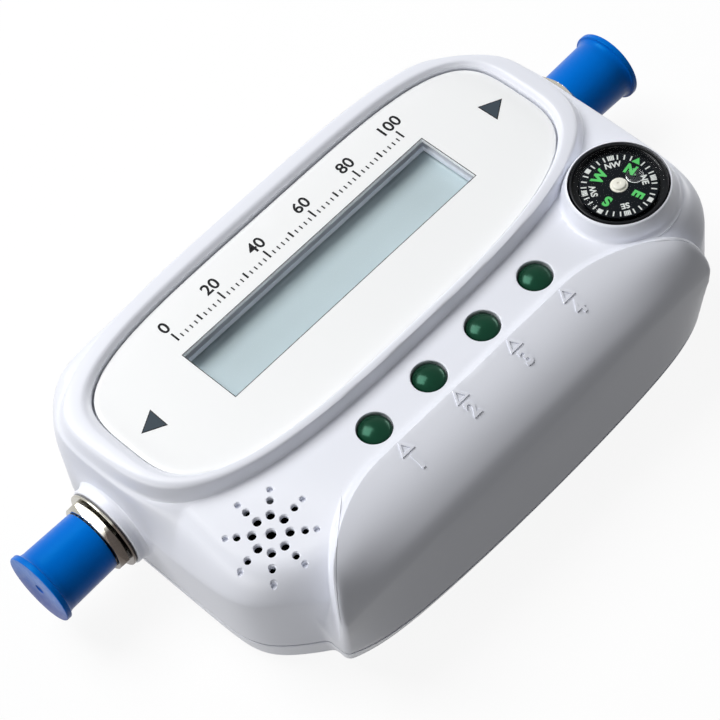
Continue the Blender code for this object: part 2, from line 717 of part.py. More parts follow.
def bottom_cover(front):
    cover = outer_case("bottom_cover")
    show(cover, WHITE_PLASTIC)
    boolean(cover, front, 'UNION')
    boolean(cover, half_space("above_seam", SEAM_LEVEL, 2 * PANEL_LEVEL), 'DIFFERENCE')
    directions = even_directions(CAVITY_STEPS)
    leans = np.array([side[4] for side in CASE_SIDES])
    tray = outline_reach(directions, leans - WALL - BASE_INSET)
    hollow = loft("tray_hollow", [ring(directions, tray, WALL),
                                  ring(directions, tray, SEAM_LEVEL + OVERRUN)])
    boolean(cover, hollow, 'DIFFERENCE')
    posts = cylinders("cover_posts", screw_places(), POST_RADIUS + WALL / 2, WALL / 2,
                      SEAM_LEVEL, SMALL_STEPS)
    boolean(cover, posts, 'UNION')
    board_posts = cylinders("board_posts", board_screw_places(), BOARD_POST_RADIUS, WALL / 2,
                            BOARD_LEVEL - GAP, SMALL_STEPS)
    boolean(cover, board_posts, 'UNION')
    head_top = SCREW_RECESS + SCREW_HEAD_HEIGHT + GAP
    boolean(cover, cylinders("head_holes", screw_places(), SCREW_HEAD_RADIUS + GAP,
                             -OVERRUN, head_top, SMALL_STEPS), 'DIFFERENCE')
    boolean(cover, cylinders("shank_holes", screw_places(), SCREW_RADIUS + GAP, 0.0,
                             SEAM_LEVEL + OVERRUN, TINY_STEPS), 'DIFFERENCE')
    boolean(cover, cylinders("board_screw_holes", board_screw_places(), SCREW_RADIUS + GAP,
                             BOARD_LEVEL + BOARD_THICKNESS - BOARD_SCREW_LENGTH - GAP,
                             BOARD_LEVEL + OVERRUN, TINY_STEPS), 'DIFFERENCE')


# Panel and display

def face_panel():
    directions = even_directions(CASE_STEPS)
    reach = panel_reach(directions, 0.0)
    panel = loft("face_panel", [ring(directions, reach, PANEL_LEVEL - PANEL_THICKNESS),
                                ring(directions, reach, PANEL_LEVEL)], WHITE_FILM)
    boolean(panel, window_box("panel_window", 0.0, 0.0, PANEL_LEVEL + OVERRUN), 'DIFFERENCE')


def display():
    level = pane_level() - PANE_THICKNESS
    pane = window_box("display_window", PANE_MARGIN, level, pane_level())
    show(pane, CLEAR_PLASTIC)
    top = PANEL_LEVEL - DISPLAY_DEPTH
    glass = window_box("display_glass", DISPLAY_MARGIN, top - DISPLAY_THICKNESS, top)
    show(glass, DISPLAY_GLASS)
    below = top - DISPLAY_THICKNESS - GAP
    holder = window_box("display_holder", DISPLAY_MARGIN, below - HOLDER_THICKNESS, below)
    show(holder, GREY_PLASTIC)
    slot_length = WINDOW_LENGTH * STRIP_LENGTH_SHARE
    front = WINDOW_Y - WINDOW_WIDTH / 2 - DISPLAY_MARGIN + HOLDER_RIM
    slot = block("strip_slot", (WINDOW_X - slot_length / 2 - GAP, front - GAP, 0.0),
                 (WINDOW_X + slot_length / 2 + GAP, front + STRIP_WIDTH + GAP, PANEL_LEVEL))
    boolean(holder, slot, 'DIFFERENCE')
    block("display_contact_strip", (WINDOW_X - slot_length / 2, front, below - HOLDER_THICKNESS),
          (WINDOW_X + slot_length / 2, front + STRIP_WIDTH, below), RUBBER)


# Board

def board():
    top = BOARD_LEVEL + BOARD_THICKNESS
    plate = block("main_board", (-BOARD_LENGTH / 2, BOARD_FRONT_Y, BOARD_LEVEL),
                  (BOARD_LENGTH / 2, BOARD_BACK_Y, top), BOARD_GREEN)
    boolean(plate, cylinders("board_notches", screw_places()[2:], POST_RADIUS + GAP, 0.0,
                             PANEL_LEVEL, SMALL_STEPS), 'DIFFERENCE')
    boolean(plate, cylinders("board_holes", board_screw_places(), SCREW_RADIUS + GAP, 0.0,
                             PANEL_LEVEL, TINY_STEPS), 'DIFFERENCE')
    level = top + GAP
    can = block("rf_shield_can", (-CAN_LENGTH / 2, -CAN_WIDTH / 2, level),
                (CAN_LENGTH / 2, CAN_WIDTH / 2, level + CAN_HEIGHT), TIN, 0.001)
    inside = block("can_inside", (-CAN_LENGTH / 2 + CAN_SKIN, -CAN_WIDTH / 2 + CAN_SKIN, 0.0),
                   (CAN_LENGTH / 2 - CAN_SKIN, CAN_WIDTH / 2 - CAN_SKIN,
                    level + CAN_HEIGHT - CAN_SKIN))
    boolean(can, inside, 'DIFFERENCE')
    for name, place, size, finish in (("control_chip", CHIP_PLACE, CHIP_SIZE, BLACK_PLASTIC),
                                      ("voltage_regulator", REGULATOR_PLACE, REGULATOR_SIZE,
                                       BLACK_PLASTIC)):
        block(name, (place[0] - size[0] / 2, place[1] - size[1] / 2, level),
              (place[0] + size[0] / 2, place[1] + size[1] / 2, level + size[2]), finish)
    waist = COIL_RADIUS * COIL_WAIST_SHARE
    revolve("choke_coil", [(0.0, 0.0), (COIL_RADIUS, 0.0), (COIL_RADIUS, COIL_FLANGE),
                           (waist, COIL_FLANGE), (waist, COIL_HEIGHT - COIL_FLANGE),
                           (COIL_RADIUS, COIL_HEIGHT - COIL_FLANGE),
                           (COIL_RADIUS, COIL_HEIGHT), (0.0, COIL_HEIGHT)],
            SMALL_STEPS, (COIL_PLACE[0], COIL_PLACE[1], level), GREY_PLASTIC)
    inner = CAPACITOR_RADIUS - CAPACITOR_GROOVE
    revolve("smoothing_capacitor", [(0.0, 0.0), (CAPACITOR_RADIUS, 0.0),
                                    (CAPACITOR_RADIUS, COIL_FLANGE),
                                    (inner, 2 * COIL_FLANGE), (CAPACITOR_RADIUS, 3 * COIL_FLANGE),
                                    (CAPACITOR_RADIUS, CAPACITOR_HEIGHT - CAPACITOR_GROOVE),
                                    (inner, CAPACITOR_HEIGHT), (0.0, CAPACITOR_HEIGHT)],
            SMALL_STEPS, (CAPACITOR_PLACE[0], CAPACITOR_PLACE[1], level), BLACK_PLASTIC)


def lamps():
    """Dome lamps on two leads that stand on the board."""
    top = deck_height(np.array([0.0]), np.array([0.0]))[0] + LAMP_PROUD
    spring = top - LAMP_DOME_RISE
    base = spring - LAMP_BODY_HEIGHT
    lead_foot = BOARD_LEVEL + BOARD_THICKNESS + GAP
    arc = [math.pi / 2 * i / 4 for i in range(4)]
    dome = [(LAMP_RADIUS * math.cos(a), spring + LAMP_DOME_RISE * math.sin(a)) for a in arc]
    profile = ([(0.0, base), (LAMP_FLANGE_RADIUS - GAP, base),
                (LAMP_FLANGE_RADIUS - GAP, base + LAMP_FLANGE_HEIGHT),
                (LAMP_RADIUS, base + LAMP_FLANGE_HEIGHT)] + dome + [(0.0, top)])
    for i, (x, y) in enumerate(lamp_places()):
        lamp = revolve("signal_lamp_%d" % (i + 1), profile, SMALL_STEPS, (x, y, 0), GREEN_LENS)
        half = LAMP_LEAD_WIDTH / 2
        for sense in (-1, 1):
            middle = x + sense * LAMP_LEAD_SPACING / 2
            lead = block("lead", (middle - half, y - half, lead_foot),
                         (middle + half, y + half, base + LAMP_FLANGE_HEIGHT))
            boolean(lamp, lead, 'UNION')


def buzzer():
    """A round sounder on the board, with its port on top."""
    low = BOARD_LEVEL + BOARD_THICKNESS + GAP
    top = low + BUZZER_HEIGHT
    profile = [(0.0, low), (BUZZER_RADIUS, low), (BUZZER_RADIUS, top - BUZZER_RIM),
               (BUZZER_RADIUS - BUZZER_RIM, top), (BUZZER_PORT_RADIUS, top),
               (BUZZER_PORT_RADIUS, top - BUZZER_PORT_RADIUS), (0.0, top - BUZZER_PORT_RADIUS)]
    revolve("buzzer", profile, SMALL_STEPS, (BUZZER_X, BUZZER_Y, 0), BLACK_PLASTIC)


# Compass

def compass():
    """Cup, pivot, card with its bright button, and clear dome, all on one upright axis."""
    rim = boss_rim_level()
    floor = rim - COMPASS_CUP_DEPTH
    inner = COMPASS_RADIUS - COMPASS_CUP_WALL
    seat = rim - DOME_SKIRT - GAP
    centre = (COMPASS_X, COMPASS_Y, 0)
    step = inner + COMPASS_CUP_WALL / 2
    revolve("compass_cup", [(0.0, floor), (COMPASS_RADIUS, floor), (COMPASS_RADIUS, rim),
                            (step, rim), (step, seat), (inner - COMPASS_CUP_WALL, seat),
                            (inner - COMPASS_CUP_WALL, floor + COMPASS_CUP_FLOOR),
                            (0.0, floor + COMPASS_CUP_FLOOR)],
            ROUND_STEPS, centre, BLACK_PLASTIC)
    card_top = rim - CARD_DEPTH
    card_low = card_top - CARD_THICKNESS
    base = floor + COMPASS_CUP_FLOOR + GAP
    revolve("compass_pivot", [(0.0, base), (PIVOT_FOOT_RADIUS, base),
                              (PIVOT_FOOT_RADIUS, base + PIVOT_FOOT_HEIGHT),
                              (PIVOT_RADIUS, base + PIVOT_FOOT_HEIGHT),
                              (PIVOT_RADIUS, card_low - 2 * PIVOT_RADIUS),
                              (PIVOT_TIP_RADIUS, card_low - GAP), (0.0, card_low - GAP)],
            TINY_STEPS, centre, BRIGHT_STEEL)
    button = BUTTON_RADIUS * math.cos(math.pi / 4)
    revolve("compass_card", [(0.0, card_low), (CARD_RADIUS, card_low), (CARD_RADIUS, card_top),
                             (BUTTON_RADIUS, card_top),
                             (button, card_top + BUTTON_HEIGHT * 0.7),
                             (0.0, card_top + BUTTON_HEIGHT)],
            ROUND_STEPS, centre, BLACK_CARD)
    outside = step - GAP
    curve = [math.pi / 2 * i / 4 for i in range(4)]
    over = [(outside * math.cos(a), rim + DOME_RISE * math.sin(a)) for a in curve]
    under = [((outside - DOME_THICKNESS) * math.cos(a),
              rim - DOME_THICKNESS / 2 + (DOME_RISE - DOME_THICKNESS / 2) * math.sin(a))
             for a in reversed(curve)]
    skirt = rim - DOME_SKIRT
    revolve("compass_dome", ([(0.0, rim - DOME_THICKNESS / 2 + DOME_RISE - DOME_THICKNESS / 2)]
                             + under + [(outside - DOME_THICKNESS, skirt), (outside, skirt)]
                             + over + [(0.0, rim + DOME_RISE)]),
            ROUND_STEPS, centre, CLEAR_PLASTIC)


# Connectors

def connector(side, sense):
    """Everything on one end of the connector axis; sense is -1 on the left, +1 on the right."""
    axis = (0, 0, AXIS_LEVEL)
    flange_out = COLLAR_INNER_X - GAP
    flange_in = flange_out - BARREL_FLANGE_THICKNESS
    bore_end = BARREL_END_X - BARREL_BORE_DEPTH
    through = CONTACT_RADIUS + GAP
    revolve(side + "_connector_barrel",
            [(through, BARREL_INNER_X), (BARREL_RADIUS, BARREL_INNER_X), (BARREL_RADIUS, flange_in),
             (BARREL_FLANGE_RADIUS, flange_in), (BARREL_FLANGE_RADIUS, flange_out),
             (BARREL_RADIUS, flange_out), (BARREL_RADIUS, BARREL_END_X - BARREL_CHAMFER),
             (BARREL_RADIUS - BARREL_CHAMFER, BARREL_END_X), (BARREL_BORE_RADIUS, BARREL_END_X),
             (BARREL_BORE_RADIUS, bore_end), (through, bore_end)],
            SMALL_STEPS, axis, NICKEL, 'X', sense)
    plug_radius = BARREL_BORE_RADIUS - GAP
    revolve(side + "_insulator",
            [(INSULATOR_HOLE_RADIUS, bore_end + GAP), (plug_radius, bore_end + GAP),
             (plug_radius, BARREL_END_X - INSULATOR_SETBACK),
             (INSULATOR_HOLE_RADIUS, BARREL_END_X - INSULATOR_SETBACK)],
            SMALL_STEPS, axis, INSULATOR_WHITE, 'X', sense)
    contact_end = BARREL_END_X - CONTACT_SETBACK
    revolve(side + "_centre_contact",
            [(0.0, BARREL_INNER_X), (CONTACT_RADIUS, BARREL_INNER_X), (CONTACT_RADIUS, contact_end),
             (CONTACT_HOLE_RADIUS, contact_end), (CONTACT_HOLE_RADIUS, contact_end - CONTACT_HOLE_DEPTH),
             (0.0, contact_end - CONTACT_HOLE_DEPTH)],
            TINY_STEPS, axis, BRASS, 'X', sense)
    hole = BARREL_RADIUS + GAP
    washer_out = COLLAR_FACE_X + GAP + WASHER_THICKNESS
    revolve(side + "_washer", [(hole, COLLAR_FACE_X + GAP), (WASHER_RADIUS, COLLAR_FACE_X + GAP),
                               (WASHER_RADIUS, washer_out), (hole, washer_out)],
            ROUND_STEPS, axis, NICKEL, 'X', sense)
    nut_in = washer_out + GAP
    nut_out = nut_in + NUT_THICKNESS
    hex_nut(side + "_hex_nut", nut_in, nut_out, sense)
    dust_cap(side + "_dust_cap", nut_out + GAP, sense)


def hex_nut(name, inner, outer, sense):
    """A hexagon whose outer corners are turned off by a cone."""
    corner = NUT_ACROSS_FLATS / 2 / math.cos(math.pi / 6)
    nut = revolve(name, [(BARREL_RADIUS + GAP, inner), (corner, inner), (corner, outer),
                         (BARREL_RADIUS + GAP, outer)], 6, (0, 0, AXIS_LEVEL), NICKEL, 'X', sense)
    flat = NUT_ACROSS_FLATS / 2
    cone = revolve(name + "_cone", [(0.0, inner - OVERRUN), (2 * corner, inner - OVERRUN),
                                    (corner, outer - NUT_CHAMFER), (flat, outer),
                                    (flat, outer + OVERRUN), (0.0, outer + OVERRUN)],
                   ROUND_STEPS, (0, 0, AXIS_LEVEL), None, 'X', sense)
    boolean(nut, cone, 'INTERSECT')
    hole = revolve(name + "_hole", [(0.0, inner - OVERRUN), (BARREL_RADIUS + GAP, inner - OVERRUN),
                                    (BARREL_RADIUS + GAP, outer + OVERRUN), (0.0, outer + OVERRUN)],
                   SMALL_STEPS, (0, 0, AXIS_LEVEL), None, 'X', sense)
    boolean(nut, hole, 'DIFFERENCE')


def dust_cap(name, open_end, sense):
    """A tapered sleeve with a wide grip flange and a closed, slightly sunken end."""
    inner = BARREL_RADIUS + GAP
    face_out = CAP_END_X - CAP_FACE_RECESS
    face_in = face_out - CAP_FACE_THICKNESS
    flange_in = CAP_END_X - CAP_FLANGE_THICKNESS
    fillet = CAP_FLANGE_FILLET * math.sin(math.pi / 4)
    revolve(name, [(0.0, face_in), (inner, face_in), (inner, open_end), (CAP_OPEN_RADIUS, open_end),
                   (CAP_ROOT_RADIUS, flange_in - CAP_FLANGE_FILLET),
                   (CAP_ROOT_RADIUS + CAP_FLANGE_FILLET - fillet, flange_in - CAP_FLANGE_FILLET + fillet),
                   (CAP_FLANGE_RADIUS, flange_in), (CAP_FLANGE_RADIUS, CAP_END_X),
                   (CAP_FACE_RADIUS, CAP_END_X), (CAP_FACE_RADIUS - CAP_FACE_RECESS, face_out),
                   (0.0, face_out)],
            ROUND_STEPS, (0, 0, AXIS_LEVEL), BLUE_PLASTIC, 'X', sense)


# Screws

def screw(name, x, y, head_low, length, sense):
    """A pan-head screw with one driving slot; sense +1 points its shank upwards."""
    shank = SCREW_HEAD_HEIGHT + length * sense if sense > 0 else -length
    head_far = SCREW_HEAD_HEIGHT
    tip = SCREW_RADIUS / 2
    if sense > 0:
        profile = [(0.0, 0.0), (SCREW_HEAD_RADIUS * 0.8, 0.0), (SCREW_HEAD_RADIUS, head_far / 2),
                   (SCREW_HEAD_RADIUS, head_far), (SCREW_RADIUS, head_far),
                   (SCREW_RADIUS, shank - SCREW_RADIUS), (tip, shank), (0.0, shank)]
        slot_low, slot_high = -OVERRUN, head_far / 2
    else:
        profile = [(0.0, shank), (tip, shank), (SCREW_RADIUS, shank + SCREW_RADIUS),
                   (SCREW_RADIUS, 0.0), (SCREW_HEAD_RADIUS, 0.0), (SCREW_HEAD_RADIUS, head_far / 2),
                   (SCREW_HEAD_RADIUS * 0.8, head_far), (0.0, head_far)]
        slot_low, slot_high = head_far / 2, head_far + OVERRUN
    made = revolve(name, profile, TINY_STEPS, (x, y, head_low), BRIGHT_STEEL)
    slot = block(name + "_slot", (x - SCREW_HEAD_RADIUS * 0.6, y - SCREW_SLOT / 2, head_low + slot_low),
                 (x + SCREW_HEAD_RADIUS * 0.6, y + SCREW_SLOT / 2, head_low + slot_high))
    boolean(made, slot, 'DIFFERENCE')


def screws():
    for i, (x, y) in enumerate(screw_places()):
        screw("cover_screw_%d" % (i + 1), x, y, SCREW_RECESS, SCREW_LENGTH - SCREW_HEAD_HEIGHT, 1)
    level = BOARD_LEVEL + BOARD_THICKNESS + GAP
    for i, (x, y) in enumerate(board_screw_places()):
        screw("board_screw_%d" % (i + 1), x, y, level, BOARD_SCREW_LENGTH, -1)


def finish_pieces():
    """Settle every Boolean into its mesh, drop the helpers and mark the sharp edges."""
    settled = bpy.context.evaluated_depsgraph_get()
    pieces = [item for item in bpy.data.objects if not item.hide_render]
    meshes = [bpy.data.meshes.new_from_object(item.evaluated_get(settled)) for item in pieces]
    for item, mesh in zip(pieces, meshes):
        item.modifiers.clear()
        item.data = mesh
        mesh.name = item.name
        mesh.shade_smooth()
        mesh.set_sharp_from_angle(angle=math.radians(SHARP_ANGLE))
    for item in [item for item in bpy.data.objects if item.hide_render]:
        bpy.data.objects.remove(item, do_unlink=True)


def main():
    clear_scene()
    front = apron("apron_form", APRON_STEPS, 0.0)
    top_shell(front)
    bottom_cover(front)
    face_panel()
    display()
    board()
    lamps()
    buzzer()
    compass()
    connector("left", -1)
    connector("right", 1)
    screws()
    finish_pieces()


main()
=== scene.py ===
"""Looks of the satellite signal meter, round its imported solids.

Lengths are in metres, in the frame of the part: X runs along the two connectors with the
compass end at +X, -Y is the side with the lamps, and Z = 0 is the base.
"""
import json
import math

import bmesh
import bpy
import numpy as np
from mathutils import Matrix, Vector


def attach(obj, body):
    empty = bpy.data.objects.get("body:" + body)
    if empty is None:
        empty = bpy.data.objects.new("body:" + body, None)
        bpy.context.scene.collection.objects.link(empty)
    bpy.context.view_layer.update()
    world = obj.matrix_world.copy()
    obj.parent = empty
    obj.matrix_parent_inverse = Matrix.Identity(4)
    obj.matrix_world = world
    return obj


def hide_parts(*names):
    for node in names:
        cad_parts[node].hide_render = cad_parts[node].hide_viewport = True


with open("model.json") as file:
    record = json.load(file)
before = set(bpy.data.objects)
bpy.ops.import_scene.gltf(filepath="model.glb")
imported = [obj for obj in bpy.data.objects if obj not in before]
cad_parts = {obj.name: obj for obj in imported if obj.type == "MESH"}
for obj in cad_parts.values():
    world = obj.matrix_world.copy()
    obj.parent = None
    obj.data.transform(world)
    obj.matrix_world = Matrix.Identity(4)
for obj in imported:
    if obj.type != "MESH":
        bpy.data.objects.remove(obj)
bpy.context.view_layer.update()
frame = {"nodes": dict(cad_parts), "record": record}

TURN = 2 * math.pi

# Levels and wall
PANEL_LEVEL = 0.0265
SEAM_LEVEL = 0.0050
AXIS_LEVEL = 0.01186
WALL = 0.0020
GAP = 0.0003
OVERRUN = 0.0020
HUB_Y = -0.0060

# Sides of the case: facing in degrees, distance, shoulder reach, edge depth, lean at the seam
CASE_SIDES = np.array([
    (180.0, 0.0491, 0.0062, 0.0110, -0.0002),
    (229.8, 0.0495, 0.0036, 0.0075, 0.0002),
    (270.0, 0.0340, 0.0120, 0.0140, 0.0),
    (310.2, 0.0540, 0.0036, 0.0045, -0.0003),
    (0.0, 0.0493, 0.0010, 0.0020, -0.0006),
    (45.6, 0.0426, 0.0028, 0.0042, 0.0008),
    (90.0, 0.0259, 0.0026, 0.0040, 0.0010),
    (134.4, 0.0476, 0.0036, 0.0055, 0.0006)])
CORNER_SHARPNESS = 26.0
BLEND_SHARPNESS = 9.0
SHOULDER_POWER = 2.5
BASE_INSET = 0.0010
BASE_ROUND = 0.0006
EDGE_BLEND = 0.0005
APRON_BLEND = 0.0007

# Deck, tilted down at the left front corner
DECK_DEPTH = 0.0012
DECK_LEVEL = PANEL_LEVEL - DECK_DEPTH
DECK_TILT = 0.235
DECK_TILT_DIRECTION = math.radians(209.3)
DECK_TILT_START = 0.0409
DECK_TILT_SOFTNESS = 0.0030

# Panel and the ridge round it. An oval is half length, half width, centre line, the power
# behind that line and in front of it, and how the left half's length leans
PANEL_OVAL = (0.0431, 0.0165, -0.0020, 4.2, 3.1, 0.0)
PANEL_THICKNESS = 0.0008
FOOT_OVAL = (0.0484, 0.0200, -0.0009, 3.3, 3.2, 0.13)
RIDGE_HEIGHT = 0.0013
RIDGE_LIP = 0.0005
RIDGE_RISE_END = 0.24
RIDGE_FALL_START = 0.72
RIDGE_DOMING = 0.25
FOOT_BLEND = 0.0010
LIP_WIDTH = 0.00015

# Front apron
APRON_HALF = 0.0410
APRON_SEAM_HALF = 0.0405
CREST_Y = -0.0312
CREST_DEPTH = 0.0002
CREST_SWEEP = 0.0104
CREST_SWEEP_START = 0.0200
TIP_FALL = 0.0068
TIP_FALL_START = 0.0360
SHOULDER_Y = -0.0428
SHOULDER_DEPTH = 0.0066
SHOULDER_TIP_FALL = 0.0022
SLOPE_LEAD = 0.38
SLOPE_POWER = 2.9
WAIST_Y = -0.0438
WAIST_LEVEL = PANEL_LEVEL - 0.0120
WAIST_TIP_SHIFT = 0.0014
APRON_SEAM_Y = -0.0449
APRON_SEAM_BOW = 0.0020
APRON_SEAM_TIP_ROUND = 0.0028
APRON_BASE_INSET = 0.0020
APRON_EDGE_BLEND = 0.0016
APRON_END_BLEND = 0.0009
RAMP_LENGTH = 0.0016
RAMP_SINK = 0.0005

# Compass: levels are under its rim. A profile is radius, height and easing
COMPASS_X = 0.0386
COMPASS_Y = -0.0263
COMPASS_RIM = 0.0285
COMPASS_RADIUS = 0.0077
CUP_DEPTH = 0.0072
CUP_WALL = 0.0007
CUP_FLOOR = 0.0010
BOSS_FOOT_RADIUS = 0.0090
BOSS_TOP_RADIUS = 0.0084
BOSS_COVE = 0.0009
BOSS_COVE_HEIGHT = 0.0013
BOSS_COVE_SINK = 0.00012
BOSS_ROOT = 0.0008
BOSS_EASE = 0.0005
CARD_RADIUS = 0.0062
CARD_DEPTH = 0.0007
CARD_THICKNESS = 0.0005
HUB_PROFILE = ((0.0, -0.00002, 0), (0.00140, -0.00002, 0), (0.00140, 0.00018, 0.00008),
               (0.00112, 0.00018, 0.00006), (0.00106, 0.00056, 0.00022),
               (0.00028, 0.00062, 0.00006), (0.00018, 0.00046, 0), (0.0, 0.00044, 0))
DOME_RISE = 0.0012
DOME_WALL = 0.0006
DOME_SKIRT = 0.0009
VAULT_RISE = 0.0009
BUBBLE_PLACE = (COMPASS_X + 0.00255, COMPASS_Y - 0.00106, COMPASS_RIM + 0.00008)
BUBBLE_RADIUS = 0.0014
BUBBLE_RISE = 0.00022
NORTH = math.radians(10.0)
# A tick and a block as half width, first and last reach, and the shifts of a group of ticks
TICK = (0.00011, 0.0050, 0.0059)
BLOCK = (0.00042, 0.0052, 0.0060)
TICK_GROUP = (-0.075, -0.025, 0.025, 0.075)

# Lamps
LAMP_PLACES = [(-0.0165 + i * 0.01185, -0.0263) for i in range(4)]
LAMP_HOLE_RADIUS = 0.00285
LAMP_RADIUS = 0.0027
LAMP_DOME_RISE = 0.0013
LAMP_TOP = 0.0257
LAMP_BODY = 0.0036
LAMP_FLANGE = 0.0001
LAMP_FLANGE_HEIGHT = 0.0010
LEAD_FOOT = 0.0075
LEAD_OFFSET = 0.00127
LEAD_HALF = 0.00025

# Sound holes: each ring's distance, hole radius and hole depth
GRILLE_X = -0.0389
GRILLE_Y = -0.0265
GRILLE_RAYS = 8
GRILLE_CENTRE = (0.00080, 0.0100)
GRILLE_RINGS = ((0.00285, 0.00068, 0.0100), (0.0051, 0.00056, 0.0100), (0.00685, 0.00046, 0.0007))
GRILLE_POCKET = 0.0061
GRILLE_POCKET_LOW = 0.0100
GRILLE_WALL = 0.0007
HOLE_FLARE = 0.00012

# Display window
WINDOW_HALF_X = 0.0531 / 2
WINDOW_HALF_Y = 0.0116 / 2
WINDOW_X = 0.0002
WINDOW_Y = -0.0011
PANE_MARGIN = 0.0022
PANE_THICKNESS = 0.0006

# Printed and raised marks. Scale lines are their number's divisor, length and half width
PRINT_LOW = 0.00001
PRINT_HIGH = 0.00003
LETTER_THICKNESS = 0.00004
ARROWS = (((-0.04017, -0.00062), (-0.03636, 0.00145), (-0.03649, -0.00263)),
          ((0.04062, 0.00018), (0.03706, -0.00214), (0.03693, 0.00204)))
ARROW_FILL = 0.88
FRAME_LINE = 0.00012
SCALE_Y = 0.0071
SCALE_LENGTH = 0.0500
SCALE_STEPS = 50
SCALE_LINES = ((10, 0.0018, 0.00016), (5, 0.0013, 0.00016), (1, 0.0008, 0.00011))
NUMBERS_Y = 0.01045
NUMBER_HEIGHT = 0.0021
NUMBER_BOLDER = 0.00005
MARK_RISE = 0.00022
MARK_ROOT = 0.0003
MARK_CORNERS = ((-0.0013, -0.0335), (0.0013, -0.0335), (0.0, -0.0313))
MARK_HOLE = 1 - 0.32 / 0.78
MARK_SHARP = math.radians(25)
NUMERAL_Y = -0.0354
NUMERAL_HEIGHT = 0.0024
NUMERAL_BOLDER = 0.00009

# Connectors
WALL_FACES_X = ((-1, 0.0491), (1, 0.0493))
COLLAR_RADIUS = 0.00725
COLLAR_FACE_X = 0.05088
COLLAR_INNER_X = 0.0440
COLLAR_FLARE = 0.0006
COLLAR_ROOT = 0.0003
COLLAR_ROOT_LENGTH = 0.0012
COLLAR_EASE = 0.0003
BARREL_RADIUS = 0.0047
BARREL_END_X = 0.0618
BARREL_BORE = 0.0034
BARREL_BORE_DEPTH = 0.0150
BARREL_INNER_X = 0.0403
BARREL_FLANGE_RADIUS = 0.0062
BARREL_FLANGE = 0.0012
THREAD_PITCH = 0.000794
THREAD_DEPTH = 0.00035
THREAD_END_X = BARREL_END_X - 0.0004
PLUG_SINK = 0.0006
PLUG_HOLE = 0.0011
CONTACT_RADIUS = 0.0008
CONTACT_HOLE = 0.0004
CONTACT_HOLE_DEPTH = 0.005
CONTACT_SINK = 0.0012
WASHER_RADIUS = 0.0070
WASHER_THICKNESS = 0.0004
NUT_FLAT = 0.0060
NUT_THICKNESS = 0.0017
NUT_CHAMFER = 0.0007
NUT_SHARP = math.radians(14)
CAP_END_X = 0.0650
CAP_OPEN_RADIUS = 0.0054
CAP_ROOT_RADIUS = 0.0056
CAP_FLANGE_RADIUS = 0.0063
CAP_FLANGE_THICKNESS = 0.0010
CAP_WEB = 0.0010
CAP_FILLET = 0.0005
CAP_FILLET_LENGTH = 0.0012
CAP_RIM = 0.0002
CAP_FACE_RECESS = 0.0002
CAP_FACE_RADIUS = 0.0051
CAP_DIMPLE = 0.0009
CAP_DIMPLE_DEPTH = 0.00025

# Cover screws
SCREW_PLACES = ((-0.0340, 0.0128), (0.0340, 0.0128), (-0.0355, -0.0315), (0.0355, -0.0315))
SCREW_RADIUS = 0.0011
SCREW_HEAD_RADIUS = 0.0023
SCREW_HEAD_HEIGHT = 0.0012
SCREW_CROWN = 0.0007
SCREW_LENGTH = 0.0085
SCREW_POINT = 0.0012
SCREW_POINT_RADIUS = 0.00045
SCREW_RECESS = 0.0010
SINK_EASE = 0.00025
CROSS_WIDE = 0.00026
CROSS_LONG = 0.00125
CROSS_DEPTH = 0.0007
POST_RADIUS = 0.0029

# Fineness of the grids, and the bounds and steps of the searches along rays
AROUND = 640
RIDGE_RINGS = 18
DECK_RINGS = 26
WALL_RINGS = 54
COVER_AROUND = 420
PANEL_AROUND = 360
NUT_AROUND = 360
TIP_TURNS = (220, 320)
TIP_SPREAD = 3.5
TIP_DENSITY = 0.35
FAN_RAYS = 400
FAN_INSET = 0.0060
FAN_POWER = 1.15
OVAL_LIMIT = 0.1
SKIN_LIMIT = 0.09
SKIN_STEPS = 27
ROUND_TURN = 128
FINE_TURN = 96
SMALL_TURN = 48
SHARP = math.radians(36)

# Finishes: colour, roughness, drift of tone, grain size, grain depth, specular level
MOULDED = {
    "white_plastic": ((0.82, 0.84, 0.91), 0.36, 0.015),
    "white_film": ((0.935, 0.945, 0.95), 0.30, 0.008, 0.0004, 0.0000008),
    "grey_plastic": ((0.45, 0.46, 0.48), 0.5),
    "black_plastic": ((0.006, 0.007, 0.009), 0.25, 0.25, 0.0003, 0.000001, 0.12),
    "black_card": ((0.006, 0.008, 0.011), 0.45, 0.3, 0.0002, 0.0000006, 0.05),
    "insulator_white": ((0.80, 0.79, 0.74), 0.45, 0.05),
    "contact_rubber": ((0.03, 0.03, 0.032), 0.8, 0.2, 0.0003, 0.00002),
    "print_ink": ((0.055, 0.075, 0.095), 0.45, 0.2, 0.0003, 0.000001, 0.1),
    "dial_ink": ((0.012, 0.012, 0.014), 0.45, 0.2, 0.0003, 0.000001, 0.1),
    "card_white": ((0.80, 0.82, 0.80), 0.5, 0.15, 0.0001, 0.0000005),
    "card_green": ((0.09, 0.66, 0.14), 0.5, 0.25, 0.0001, 0.0000005),
    "hub_cream": ((0.93, 0.90, 0.80), 0.3, 0.1, 0.0003, 0.000001)}
# Colour, roughness and the stretch of the marks
METALS = {
    "bright_steel": ((0.74, 0.73, 0.70), 0.22),
    "contact_brass": ((0.78, 0.58, 0.26), 0.25),
    "tin_plate": ((0.66, 0.67, 0.68), 0.36, (1, 8, 8))}
# Roughness and index of refraction
CLEAR = {"clear_plastic": (0.02, 1.05), "bubble_film": (0.03, 1.25)}

